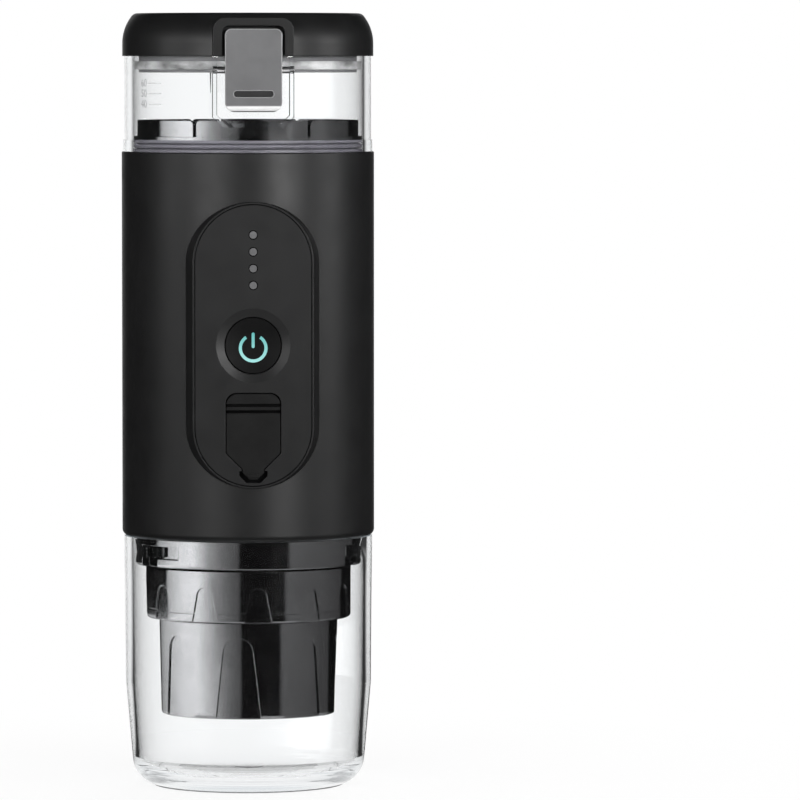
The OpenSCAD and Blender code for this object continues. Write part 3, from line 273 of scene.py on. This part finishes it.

# Painted light on the latch: painted highlights on its rim and its lip, painted shade along the lip's lower
# edge and in its finger groove
# Bands are in millimetres from its foot, its front or its middle
latch_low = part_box("latch")[0]
HIGHLIGHT_RIM_WIDTH = 0.5
LIP_HIGHLIGHT_TOP = (1.9, 1.5)
LIP_SHADE_EDGE = (0.4, 0.2)
GROOVE_DEEP = (0.1, 0.4)
GROOVE_HALF = (6.2, 5.8)
GROOVE_TOP = (6.6, 6.3)
GROOVE_FOOT = (3.8, 4.1)
LATCH = Paint("satin_grey", (0.115, 0.115, 0.118), 0.38, 0.2)
LATCH.tint((0.105, 0.105, 0.108), (0.125, 0.125, 0.128), 130).gloss(0.32, 0.42, 220)
LATCH.edge(0.45).grain(4200, 0.14)
# Painted highlight along the rim
LATCH.recolour(LATCH.rim(HIGHLIGHT_RIM_WIDTH), (0.42, 0.42, 0.425))
# Painted highlight on the lip
LATCH.recolour(LATCH.fade(LATCH.along("Z"), latch_low.z, LIP_HIGHLIGHT_TOP), (0.62, 0.62, 0.62))
# Painted shade along the lip's lower edge
LATCH.recolour(LATCH.fade(LATCH.along("Z"), latch_low.z, LIP_SHADE_EDGE), (0.03, 0.03, 0.03))
# Painted shade in the finger groove, with the dark colour set below
groove_deep = LATCH.fade(LATCH.along("Y"), latch_low.y, GROOVE_DEEP)
groove_half = LATCH.fade(LATCH.math("ABSOLUTE", LATCH.along("X")), 0.0, GROOVE_HALF)
groove_top = LATCH.fade(LATCH.along("Z"), latch_low.z, GROOVE_TOP)
groove_foot = LATCH.fade(LATCH.along("Z"), latch_low.z, GROOVE_FOOT)
LATCH.recolour(LATCH.all_of(groove_deep, groove_half, groove_top, groove_foot), (0.02, 0.02, 0.021))

# Painted shade in the port cover's grooves: the rubber loses its shine there, over a band in millimetres
# behind its front
RUBBER_GROOVE_SHADE = (0.15, 0.4)
RUBBER = Paint("port_rubber", (0.005, 0.005, 0.005), 0.6, Specular_IOR_Level=0.19)
RUBBER.tint((0.004, 0.004, 0.004), (0.006, 0.006, 0.006), 160).gloss(0.54, 0.68, 240)
RUBBER.edge(0.25).grain(6000, 0.3)
RUBBER.paint_shade(RUBBER.fade(RUBBER.along("Y"), strip_low.y, RUBBER_GROOVE_SHADE))

# Near black: painted shade for the gap round the panel, and the rims of its lights
SHADE_AND_RIM_BLACK = Paint("gap_shade_and_rim_black", (0.002, 0.002, 0.002), 0.8, Specular_IOR_Level=0.03)
SHADE_AND_RIM_BLACK.tint((0.0015, 0.0015, 0.0016), (0.0025, 0.0025, 0.0026), 200).gloss(0.7, 0.9, 300).grain(5000, 0.1)

# Power button
BUTTON = Paint("button_black", (0.003, 0.003, 0.003), 0.5, Specular_IOR_Level=0.12)
BUTTON.tint((0.0024, 0.0024, 0.0025), (0.0036, 0.0036, 0.0037), 160).gloss(0.46, 0.54, 240)
BUTTON.edge(0.2).grain(5200, 0.12)

# Hose and pale seals
SILICONE = Paint("seal_silicone", (0.42, 0.42, 0.4), 0.5)
SILICONE.tint((0.38, 0.38, 0.36), (0.45, 0.45, 0.43), 140).gloss(0.42, 0.56, 200).grain(3000, 0.2)

# Deck and seal under the tank
SEAL = Paint("dark_seal", (0.12, 0.115, 0.135), 0.5)
SEAL.tint((0.11, 0.105, 0.125), (0.13, 0.125, 0.145), 140).gloss(0.42, 0.56, 200).grain(3000, 0.2)

# Pins, screws, spring, plates and tubes, brushed from left to right
STEEL = Paint("brushed_steel", (0.62, 0.62, 0.63), 0.28, 1.0)
STEEL.tint((0.56, 0.56, 0.57), (0.68, 0.68, 0.69), 700, (0.04, 1, 1))
STEEL.gloss(0.2, 0.36, 900, (0.04, 1, 1)).edge(0.15).grain(1600, 0.12, (0.03, 1, 1))

# Motor pinion
BRASS = Paint("turned_brass", (0.62, 0.42, 0.16), 0.3, 1.0)
BRASS.tint((0.56, 0.38, 0.14), (0.68, 0.47, 0.2), 300).gloss(0.24, 0.38, 400).grain(2400, 0.12)

# Chassis, lid liner and other grey mouldings
MOULD = Paint("moulding_grey", (0.16, 0.16, 0.165), 0.5)
MOULD.tint((0.145, 0.145, 0.15), (0.175, 0.175, 0.18), 100).gloss(0.44, 0.56, 180)
MOULD.edge(0.25).grain(4000, 0.2)

# Circuit board
BOARD = Paint("circuit_green", (0.02, 0.11, 0.05), 0.35)
BOARD.tint((0.016, 0.095, 0.04), (0.03, 0.14, 0.065), 420, (1, 1, 0.2))
BOARD.gloss(0.28, 0.44, 500).grain(2600, 0.2)

# Light chips and driven gear
CHIP = Paint("chip_ceramic", (0.7, 0.69, 0.64), 0.42)
CHIP.tint((0.66, 0.65, 0.6), (0.74, 0.73, 0.68), 500).gloss(0.36, 0.48, 700).grain(5000, 0.12)

# Battery cells
SLEEVE = Paint("cell_sleeve", (0.03, 0.16, 0.26), 0.32)
SLEEVE.tint((0.026, 0.145, 0.24), (0.034, 0.175, 0.28), 120).gloss(0.26, 0.4, 160).grain(1200, 0.08)

# Gasket of the lid, in dark and pale patches
GASKET = Paint("lid_seal", (0.3, 0.3, 0.3), 0.4)
GASKET.tint((0.04, 0.04, 0.04), (0.6, 0.6, 0.6), 90, (1, 1, 2.2)).gloss(0.34, 0.46, 200).grain(3000, 0.2)

# Battery lights
LENS = Paint("light_lens", (0.09, 0.09, 0.093), 0.35)
LENS.tint((0.082, 0.082, 0.085), (0.1, 0.1, 0.103), 600).gloss(0.28, 0.4, 800).edge(0.2).grain(3000, 0.12)

# Numbers of the filling scale
INK = Paint("scale_ink", (0.3, 0.3, 0.31), 0.5)
INK.tint((0.26, 0.26, 0.27), (0.36, 0.36, 0.37), 900).gloss(0.45, 0.6, 700).grain(5000, 0.1)

# Dark fine lines of the cup: painted shade round its foot, and its moulded gate line
LINE = Paint("foot_shade_and_mould_line", (0.05, 0.05, 0.05), 0.5)
LINE.tint((0.035, 0.035, 0.036), (0.065, 0.065, 0.067), 300).gloss(0.42, 0.56, 400).grain(3000, 0.1)

# Strokes of the filling scale
PALE_INK = Paint("mark_ink", (0.5, 0.5, 0.51), 0.5)
PALE_INK.tint((0.46, 0.46, 0.47), (0.56, 0.56, 0.57), 900).gloss(0.45, 0.6, 700).grain(5000, 0.1)

# The power sign glows, paler at its foot than at its top, over this share of the button's height
SIGN_SPAN = (0.2, 0.8)
SIGN_GLOW = ((0.42, 0.72, 0.71), (0.05, 0.29, 0.29))
SIGN = Paint("lit_sign", (0.02, 0.12, 0.11), 0.3, Emission_Strength=0.9)
SIGN.tint((0.015, 0.11, 0.1), (0.025, 0.13, 0.12), 800).gloss(0.25, 0.35, 600).grain(3000, 0.1)
glow = SIGN.node("ShaderNodeValToRGB")
for stop, color in zip(glow.color_ramp.elements, SIGN_GLOW):
    stop.color = (*color, 1.0)
sign_heights = [button_low.lerp(button_high, share).z for share in SIGN_SPAN]
SIGN.link(SIGN.span(SIGN.along("Z"), *sign_heights), glow.inputs["Fac"])
SIGN.link(glow.outputs["Color"], SIGN.bsdf.inputs["Emission Color"])

# Clear plastic darkens where a wall is seen edge on
CLEAR_IOR = 1.49
CLEAR_SHADE = (0.86, 0.885, 0.9, 1.0)
CLEAR_DENSITY = 60.0


def clear_plastic(name):
    """Clear moulded plastic that lets light through to the floor.

    Light caught between its faces leaves after a few turns.
    """
    paint = Paint(name, (0.99, 0.993, 0.995), 0.02, IOR=CLEAR_IOR, Transmission_Weight=1.0)
    paint.gloss(0.008, 0.02, 60)
    absorb = paint.node("ShaderNodeVolumeAbsorption", Density=CLEAR_DENSITY, Color=CLEAR_SHADE)
    paint.link(absorb.outputs["Volume"], paint.out.inputs["Volume"])
    path = paint.node("ShaderNodeLightPath")
    through = paint.node("ShaderNodeBsdfTransparent")
    caught = paint.math("GREATER_THAN", path.outputs["Glossy Depth"], THRICE)
    leaves = paint.math("MAXIMUM", path.outputs["Is Shadow Ray"], caught)
    surface = paint.blend(leaves, paint.bsdf.outputs["BSDF"], through.outputs["BSDF"])
    paint.link(surface, paint.out.inputs["Surface"])
    return paint


CLEAR = clear_plastic("clear_plastic")

# Paint by material slot, and for solids that look unlike the rest of their slot
BY_SLOT = {
    "clear_plastic": CLEAR,
    "black_shell": BLACK,
    "black_gloss": GLOSS,
    "latch_grey": LATCH,
    "rubber_black": RUBBER,
    "silicone_grey": SILICONE,
    "steel": STEEL,
    "brass": BRASS,
    "moulding_grey": MOULD,
    "board_green": BOARD,
    "chip_white": CHIP,
    "cell_sleeve": SLEEVE,
}
BY_NODE = {
    "light_guide": LENS,
    "tank_seal": SEAL,
    "top_deck": SEAL,
    "lid_gasket": GASKET,
    "power_button": BUTTON,
    "control_panel": PANEL,
}


def wear(obj, paint):
    """Gives every material slot of an object one paint."""
    if not obj.data.materials:
        obj.data.materials.append(paint.mat)
    for i in range(len(obj.data.materials)):
        obj.data.materials[i] = paint.mat


for row in frame["record"]["subparts"]:
    wear(frame["nodes"][row["node"]], BY_NODE.get(row["node"], BY_SLOT[row["material_slot"]]))


# Pieces finer than the solids
MEET = 0.0001 * MM
PLATE_CORNERS = 4


def mesh_piece(name, paint, points, faces, smooth=True):
    """Object from corner points in metres and faces.

    Points that meet are joined, and the faces are turned outwards.
    """
    data = bpy.data.meshes.new(name)
    data.from_pydata(points, [], faces)
    shape = bmesh.new()
    shape.from_mesh(data)
    bmesh.ops.remove_doubles(shape, verts=shape.verts, dist=MEET)
    bmesh.ops.recalc_face_normals(shape, faces=shape.faces)
    shape.to_mesh(data)
    shape.free()
    if smooth:
        data.shade_smooth()
    data.materials.append(paint.mat)
    obj = bpy.data.objects.new(name, data)
    scene.collection.objects.link(obj)
    return obj


def net_faces(rows, columns):
    """Faces of a net of points given row by row, its last column joined to its first."""
    faces = []
    for i in range(rows - 1):
        for k in range(columns):
            n = (k + 1) % columns
            faces.append((i * columns + k, i * columns + n, (i + 1) * columns + n, (i + 1) * columns + k))
    return faces


def capped_faces(rows, columns):
    """Faces of a net that is closed at its first and last row."""
    last = (rows - 1) * columns
    return net_faces(rows, columns) + [tuple(range(columns)), tuple(range(last, last + columns))]


# Fine lines of the cup: painted shade as a dark ring round its foot where it meets the floor, and a moulded
# line in the middle of its floor
LINE_R = 0.11 * MM
LINE_STEPS = 144
LINE_SIDES = 8
FOOT_SHADE_R = 27.95 * MM
FOOT_SHADE_Z = 0.01 * MM
GATE_LINE_R = 4.3 * MM
GATE_LINE_Z = 3.41 * MM


def cup_line(name, radius, z):
    """Thin round line that lies level, its lowest point at z."""
    points = []
    for i in range(LINE_STEPS + 1):
        a = 2 * math.pi * i / LINE_STEPS
        for k in range(LINE_SIDES):
            b = 2 * math.pi * k / LINE_SIDES
            r = radius + LINE_R * math.cos(b)
            points.append((r * math.cos(a), r * math.sin(a), z + LINE_R * (1.0 + math.sin(b))))
    obj = mesh_piece(name, LINE, points, net_faces(LINE_STEPS + 1, LINE_SIDES))
    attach(obj, "cup")


# Painted shade: a dark ring where the cup's foot meets the floor
cup_line("cup_foot_shade_line", FOOT_SHADE_R, FOOT_SHADE_Z)
cup_line("cup_gate_line", GATE_LINE_R, GATE_LINE_Z)


# Torsion spring round the latch pin, angles in degrees up from the back
pin_low, pin_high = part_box("latch_pin")
PIN_AXIS = Vector((1, 0, 0))
PIN_Y = (pin_low.y + pin_high.y) / 2
PIN_Z = (pin_low.z + pin_high.z) / 2
PIN_R = (pin_high.z - pin_low.z) / 2
WIRE_R = 0.2 * MM
WIRE_SIDES = 12
COIL_GAP = 0.15 * MM
COIL_R = PIN_R + COIL_GAP + WIRE_R
COIL_L = 5.0 * MM
COIL_START = 8
COIL_END = 4 * 360 + 179
TURN_STEPS = 40
COIL_STEPS = round((COIL_END - COIL_START) / 360 * TURN_STEPS)
LEG = 6.0 * MM
LEG_STEPS = 6
LEG_OVERLAP = 4
LEG_SLIM = 0.97


def tube(name, path, radius):
    """Round steel wire along a path of Vectors, closed at both ends."""
    points = []
    for i, place in enumerate(path):
        along = (path[min(i + 1, len(path) - 1)] - path[max(i - 1, 0)]).normalized()
        side = along.cross(PIN_AXIS).normalized()
        up = along.cross(side)
        for k in range(WIRE_SIDES):
            a = 2 * math.pi * k / WIRE_SIDES
            points.append(place + radius * (side * math.cos(a) + up * math.sin(a)))
    return mesh_piece(name, STEEL, points, capped_faces(len(path), WIRE_SIDES))


def coil_point(t):
    """Point at a share of the coil's length."""
    a = math.radians(COIL_START + (COIL_END - COIL_START) * t)
    return Vector((COIL_L * (t - 0.5), PIN_Y + COIL_R * math.cos(a), PIN_Z + COIL_R * math.sin(a)))


def leg_step(degrees):
    """One step along a leg that leaves the coil straight on at an angle."""
    a = math.radians(degrees)
    return Vector((0, -math.sin(a), math.cos(a))) * LEG / LEG_STEPS


tank_leg = [coil_point(0) - leg_step(COIL_START) * i for i in range(LEG_STEPS, 0, -1)]
coil = [coil_point(i / COIL_STEPS) for i in range(COIL_STEPS + 1)]
latch_leg = [coil_point(1) + leg_step(COIL_END) * i for i in range(1, LEG_STEPS + 1)]
spring = tube("latch_torsion_spring", tank_leg + coil, WIRE_R)
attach(spring, "main")
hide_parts("latch_spring")

# The front leg turns with the latch and slides along the coil's last turn
front_leg = tube("latch_spring_leg", coil[-LEG_OVERLAP:] + latch_leg, WIRE_R * LEG_SLIM)
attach(front_leg, "latch")


# Power sign on the button's face, which a ball hollows out
BUTTON_Z = (button_low.z + button_high.z) / 2
HOLLOW_BALL = 39.27 * MM
HOLLOW_DEEP = 1.5 * MM
SIGN_RISE = 0.06 * MM
SIGN_SINK = 0.05 * MM
RING_LOW = 0.75 * MM
RING_INNER = 3.25 * MM
RING_OUTER = 4.15 * MM
RING_OPEN = 33
RING_STEPS = 72
BAR_HALF = 0.42 * MM
BAR_FOOT = -0.75 * MM
BAR_TOP = 3.75 * MM
BAR_END = 0.01 * MM
BAR_STEPS = 21


def on_hollow(x, z, lift):
    """Point on the button's hollow face, from its middle, raised towards the front."""
    y = panel_low.y + HOLLOW_DEEP - HOLLOW_BALL + math.sqrt(HOLLOW_BALL**2 - x * x - z * z)
    return (x, y - lift, BUTTON_Z + z)


def sign_plate(name, rows):
    """Thin lit plate on the hollow face from rows that go from one point across to another."""
    points = []
    for near, far in rows:
        points += [on_hollow(*near, -SIGN_SINK), on_hollow(*near, SIGN_RISE)]
        points += [on_hollow(*far, SIGN_RISE), on_hollow(*far, -SIGN_SINK)]
    obj = mesh_piece(name, SIGN, points, capped_faces(len(rows), PLATE_CORNERS), smooth=False)
    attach(obj, "button")


def ring_rows():
    """Rows across the ring, which is open at its top."""
    rows = []
    for i in range(RING_STEPS + 1):
        a = math.radians(RING_OPEN + (360 - 2 * RING_OPEN) * i / RING_STEPS)
        ends = [(r * math.sin(a), r * math.cos(a) - RING_LOW) for r in (RING_INNER, RING_OUTER)]
        rows.append(ends)
    return rows


def bar_rows():
    """Rows across the upright bar, which has round ends."""
    rows = []
    for i in range(BAR_STEPS + 1):
        a = math.pi * (i / BAR_STEPS - 0.5)
        middle = BAR_FOOT + BAR_HALF if i * 2 <= BAR_STEPS else BAR_TOP - BAR_HALF
        z = middle + BAR_HALF * math.sin(a)
        half = BAR_HALF * math.cos(a) + BAR_END
        rows.append([(-half, z), (half, z)])
    return rows


sign_plate("power_sign_ring", ring_rows())
sign_plate("power_sign_bar", bar_rows())


# Dark rims round the battery lights, their outline as radius and lift in millimetres
guide_low, guide_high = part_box("light_guide")
GUIDE_END = 2.5 * MM
LIGHTS = 4
RIM_STEPS = 48
RIM_PROFILE = [(1.06, -0.03), (1.08, 0.01), (1.15, 0.04), (1.3, 0.04), (1.37, 0.01), (1.39, -0.03)]


def light_rim(name, z):
    """Thin rounded ring on the panel's face round a light."""
    points = []
    for i in range(RIM_STEPS + 1):
        a = 2 * math.pi * i / RIM_STEPS
        for radius, lift in RIM_PROFILE:
            r = radius * MM
            points.append((r * math.cos(a), panel_low.y - lift * MM, z + r * math.sin(a)))
    obj = mesh_piece(name, SHADE_AND_RIM_BLACK, points, net_faces(RIM_STEPS + 1, len(RIM_PROFILE)))
    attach(obj, "main")


first_light = guide_high.z - GUIDE_END
last_light = guide_low.z + GUIDE_END
for i in range(LIGHTS):
    light_rim("light_rim_%d" % (i + 1), first_light + (last_light - first_light) * i / (LIGHTS - 1))


# Painted shade: a dark band in the gap round the panel's plate, its outline as distance outwards and lift in
# millimetres
GAP_PROFILE = [(-0.1, -0.02), (-0.08, 0.02), (0.07, 0.035), (0.22, 0.02), (0.24, -0.02)]
GAP_STEPS = 48


def panel_gap(name):
    """Thin dark band of painted shade that follows the plate's outline: two half circles and two straight
    sides.
    """
    half = (panel_high.x - panel_low.x) / 2
    middle = (panel_high.z + panel_low.z) / 2
    straight = (panel_high.z - panel_low.z) / 2 - half
    points = []
    for end, start in ((straight, 0.0), (-straight, math.pi)):
        for i in range(GAP_STEPS + 1):
            a = start + math.pi * i / GAP_STEPS
            for out, lift in GAP_PROFILE:
                r = half + out * MM
                points.append((r * math.cos(a), panel_low.y - lift * MM, middle + end + r * math.sin(a)))
    columns = len(GAP_PROFILE)
    points += points[:columns]
    obj = mesh_piece(name, SHADE_AND_RIM_BLACK, points, net_faces(2 * GAP_STEPS + 3, columns))
    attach(obj, "main")


panel_gap("panel_gap_shade")


# Filling scale on the tank's wall, bearings in degrees to the right of the front
TANK_R = 36.2 * MM
SCALE_LEFT = -55.0
SCALE_RIGHT = -46.0
SCALE = (("60", 206.1 * MM), ("50", 203.1 * MM), ("40", 200.0 * MM))
MARK_H = 0.28 * MM
MARK_RISE = 0.03 * MM
MARK_STEPS = 12
NUMBER_SIZE = 3.105 * MM
NUMBER_GAP = 1.2
NUMBER_RISE = 0.015 * MM


def on_tank(degrees, z, lift):
    """Point on the tank's outer wall."""
    a = math.radians(degrees)
    r = TANK_R + lift
    return (r * math.sin(a), -r * math.cos(a), z)


def scale_mark(name, z):
    """Thin level stroke round part of the wall."""
    points = []
    for i in range(MARK_STEPS + 1):
        turn = SCALE_LEFT + (SCALE_RIGHT - SCALE_LEFT) * i / MARK_STEPS
        for height, lift in ((-MARK_H, 0.0), (-MARK_H, MARK_RISE), (MARK_H, MARK_RISE), (MARK_H, 0.0)):
            points.append(on_tank(turn, z + height / 2, lift))
    obj = mesh_piece(name, PALE_INK, points, capped_faces(MARK_STEPS + 1, PLATE_CORNERS), smooth=False)
    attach(obj, "main")


def scale_number(name, words, z):
    """Plain number left of a mark, laid round the wall."""
    curve = bpy.data.curves.new(name, "FONT")
    curve.body = words
    curve.size = NUMBER_SIZE
    curve.align_x = "RIGHT"
    curve.align_y = "CENTER"
    curve.extrude = NUMBER_RISE
    text = bpy.data.objects.new(name + "_text", curve)
    scene.collection.objects.link(text)
    bpy.context.view_layer.update()
    data = bpy.data.meshes.new_from_object(text.evaluated_get(bpy.context.evaluated_depsgraph_get()))
    bpy.data.objects.remove(text)
    bpy.data.curves.remove(curve)
    for corner in data.vertices:
        x, y, depth = corner.co
        turn = SCALE_LEFT - NUMBER_GAP + math.degrees(x / TANK_R)
        corner.co = on_tank(turn, z + y, NUMBER_RISE + depth)
    data.materials.clear()
    data.materials.append(INK.mat)
    obj = bpy.data.objects.new(name, data)
    scene.collection.objects.link(obj)
    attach(obj, "main")


for words, z in SCALE:
    scale_mark("scale_mark_" + words, z)
    scale_number("scale_number_" + words, words, z)


# Room that shiny faces see, as grey levels by bearing
def both_ways(stops):
    """Stops on the right of the front, and the same ones on its left."""
    return [(-turn, level) for turn, level in reversed(stops)] + stops


# Off faces inside the cup or tank: a bright side on the left, a dark front and a dim side on the right
DARK = 0.005
FRONT = [(-41, 1.0), (-29, 0.5), (-18, 0.3), (-13, 0.25), (-10, DARK), (36, DARK)]
RIGHT = [(40, 0.32), (80, 0.24), (118, 0.14), (122, DARK), (180, DARK)]
LEFT = [(-180, DARK), (-104, DARK), (-100, 1.3), (-75, 2.9), (-60, 3.2), (-50, 2.0)]
NEAR_LEFT = [(-180, DARK), (-160, 0.02), (-150, 0.6), (-90, 2.7), (-70, 2.8), (-50, 1.6)]
SIDES = LEFT + FRONT + RIGHT
NEAR_SIDES = NEAR_LEFT + FRONT + RIGHT

# The floor shows its near sides up to this distance in metres
NEAR = 0.575

# Off outer faces: dark but for a bright back, which fades above the horizon
OUTSIDE = both_ways([(158, 0.02), (167, 0.9), (180, 0.95)])
HORIZON = (0.2, 0.4)

# Within a clear wall: pale at the back
IN_WALL = both_ways([(45, 0.01), (118, 0.01), (142, 0.05), (150, 1.3), (160, 1.7), (180, 1.8)])

# Levels of light mirrored twice, of the sky on dull faces, of white behind clear walls and under the object
DIM = 0.02
SHADE_LEVEL = 0.35
THROUGH = 1.14
UNDER_LEVEL = 0.95

# Distances in metres over which the floor stops being white in mirrors
UNDER = (0.04, 0.075)

# Distances in metres over which the floor's shadow ends, and the share of plain white within it
SHADOW = (0.06, 0.22)
SHADOW_WHITE = 0.84


class Path:
    """Sockets that tell light seen straight or through clear plastic from light off shiny or dull faces."""

    def __init__(self, nodes):
        path = nodes.node("ShaderNodeLightPath")
        self.mirrored = nodes.math("GREATER_THAN", path.outputs["Glossy Depth"], ONCE)
        self.scattered = nodes.math("GREATER_THAN", path.outputs["Diffuse Depth"], ONCE)
        self.in_wall = nodes.math("GREATER_THAN", path.outputs["Transmission Depth"], ONCE)
        self.inside = nodes.math("GREATER_THAN", path.outputs["Transmission Depth"], THRICE)
        self.again = nodes.math("GREATER_THAN", path.outputs["Glossy Depth"], TWICE)

    def made_up(self, nodes):
        """Level of white that makes up for the light lost on the way through two clear walls."""
        return nodes.span(self.inside, 0.0, 1.0, 1.0, THROUGH)


def mirror_light(nodes, path, bearing, sides):
    """Shader with what shiny faces see: from outside, within a clear wall, or inside the cup or tank.

    Light that is mirrored twice stays dim.
    """
    dim = nodes.node("ShaderNodeEmission", Strength=DIM)
    open_air = nodes.node("ShaderNodeEmission")
    nodes.link(nodes.round_the_object(bearing, OUTSIDE), open_air.inputs["Color"])
    split = nodes.node("ShaderNodeSeparateXYZ")
    nodes.link(bearing, split.inputs["Vector"])
    nodes.link(nodes.span(split.outputs["Z"], *HORIZON, 1.0, 0.0), open_air.inputs["Strength"])
    pale = nodes.node("ShaderNodeEmission")
    nodes.link(nodes.round_the_object(bearing, IN_WALL), pale.inputs["Color"])
    lit = nodes.node("ShaderNodeEmission")
    nodes.link(sides, lit.inputs["Color"])
    outer = nodes.blend(path.in_wall, open_air.outputs["Emission"], pale.outputs["Emission"])
    first = nodes.blend(path.inside, outer, lit.outputs["Emission"])
    return nodes.blend(path.again, first, dim.outputs["Emission"])


def floor_paint():
    """White floor that keeps the shadow, and shows the room's sides in mirrors."""
    paint = Paint("pale_floor", (0.86, 0.86, 0.86), 0.9)
    paint.tint((0.85, 0.85, 0.85), (0.87, 0.87, 0.87), 30)
    place = paint.node("ShaderNodeNewGeometry").outputs["Position"]
    far = paint.node("ShaderNodeVectorMath", operation="LENGTH")
    paint.link(place, far.inputs[0])
    distance = far.outputs["Value"]
    share = paint.span(distance, *SHADOW, SHADOW_WHITE)
    path = Path(paint)
    white = paint.node("ShaderNodeEmission")
    paint.link(path.made_up(paint), white.inputs["Strength"])
    plain = paint.math("MULTIPLY", share, paint.math("SUBTRACT", 1.0, path.scattered))
    seen = paint.blend(plain, paint.bsdf.outputs["BSDF"], white.outputs["Emission"])
    sides = paint.node("ShaderNodeMix", data_type="RGBA")
    paint.link(paint.math("GREATER_THAN", distance, NEAR), sides.inputs[MIX_FACTOR])
    paint.link(paint.round_the_object(place, NEAR_SIDES), sides.inputs[MIX_FIRST])
    paint.link(paint.round_the_object(place, SIDES), sides.inputs[MIX_SECOND])
    away = mirror_light(paint, path, place, sides.outputs[MIX_RESULT])
    under = paint.node("ShaderNodeEmission", Strength=UNDER_LEVEL)
    near = paint.span(distance, *UNDER, 1.0, 0.0)
    mirrored = paint.blend(near, away, under.outputs["Emission"])
    paint.link(paint.blend(path.mirrored, seen, mirrored), paint.out.inputs["Surface"])
    return paint


FLOOR_HALF = 6.0
corners = [(x * FLOOR_HALF, y * FLOOR_HALF, 0) for x, y in ((-1, -1), (1, -1), (1, 1), (-1, 1))]
floor = mesh_piece("floor", floor_paint(), corners, [(0, 1, 2, 3)], smooth=False)

# Sky: white where it is seen, the room's sides in mirrors
world = bpy.data.worlds.new("studio")
scene.world = world
world.use_nodes = True
sky = Nodes(world.node_tree)
sky_path = Path(sky)
bearing = sky.node("ShaderNodeTexCoord").outputs["Generated"]
white = sky.node("ShaderNodeBackground", Color=(1.0, 1.0, 1.0, 1.0))
shade = sky.span(sky_path.scattered, 0.0, 1.0, 1.0, SHADE_LEVEL)
sky.link(sky.math("MULTIPLY", shade, sky_path.made_up(sky)), white.inputs["Strength"])
mirrored = mirror_light(sky, sky_path, bearing, sky.round_the_object(bearing, SIDES))
both = sky.blend(sky_path.mirrored, white.outputs["Background"], mirrored)
sky.link(both, sky.tree.nodes["World Output"].inputs["Surface"])


# Lamps
def softbox(name, azimuth, height, distance, size, power, in_mirrors, aim=0.12, spread=180):
    """Lamp that faces a height on the object's axis, its light kept within spread degrees."""
    lamp = bpy.data.lights.new(name, "AREA")
    lamp.shape = "RECTANGLE"
    lamp.size, lamp.size_y = size
    lamp.energy = power
    lamp.spread = math.radians(spread)
    obj = bpy.data.objects.new(name, lamp)
    scene.collection.objects.link(obj)
    a = math.radians(azimuth)
    obj.location = (distance * math.sin(a), -distance * math.cos(a), height)
    away = obj.location - Vector((0, 0, aim))
    obj.rotation_euler = away.to_track_quat("Z", "Y").to_euler()
    obj.visible_glossy = in_mirrors
    obj.visible_transmission = False
    obj.visible_camera = False


# Flat lamps in front: name, bearing, width in metres and power in watts
FRONT_LAMPS = (
    ("left_box", -35, 0.7, 5.8),
    ("far_left_box", -74, 0.5, 2.1),
    ("right_box", 30, 0.5, 8),
    ("far_right_box", 76, 0.5, 3.6),
)
LAMP_HEIGHT = 0.33
LAMP_DISTANCE = 1.3
LAMP_TALL = 0.2
for name, azimuth, width, power in FRONT_LAMPS:
    softbox(name, azimuth, LAMP_HEIGHT, LAMP_DISTANCE, (width, LAMP_TALL), power, True)

# Square lamps above and behind, and a low one that grazes the front
SQUARE = (1.0, 1.0)
LOW = (0.4, 0.3)
softbox("top_box", 10, height=1.5, distance=0.4, size=SQUARE, power=9, in_mirrors=False)
softbox("back_box", 165, height=1.0, distance=1.3, size=SQUARE, power=9, in_mirrors=False)
softbox("low_box", 0, height=0.01, distance=0.3, size=LOW, power=0.6, in_mirrors=True, aim=0.6, spread=90)


# Camera: metres and degrees, with the photo's pixels for its scale, the object's axis and the eye's height
DISTANCE = 1.95
AZIMUTH = -2.3
HEIGHT = 0.214
PHOTO_PX = 800
PX_PER_METRE = 3405
AXIS_X_PX = 248
EYE_Y_PX = 56
SENSOR = 36.0
FAR_END = 50.0
FOCAL_PX = PX_PER_METRE * DISTANCE
lens = bpy.data.cameras.new("camera")
lens.sensor_width = SENSOR
lens.lens = FOCAL_PX / PHOTO_PX * SENSOR
lens.clip_end = FAR_END
camera = bpy.data.objects.new("camera", lens)
scene.collection.objects.link(camera)
scene.camera = camera
camera_turn = math.radians(AZIMUTH)
camera.location = (DISTANCE * math.sin(camera_turn), -DISTANCE * math.cos(camera_turn), HEIGHT)
turn_right = math.atan((PHOTO_PX / 2 - AXIS_X_PX) / FOCAL_PX)
turn_down = math.atan((PHOTO_PX / 2 - EYE_Y_PX) / FOCAL_PX)
camera.rotation_euler = (math.pi / 2 - turn_down, 0.0, camera_turn - turn_right)
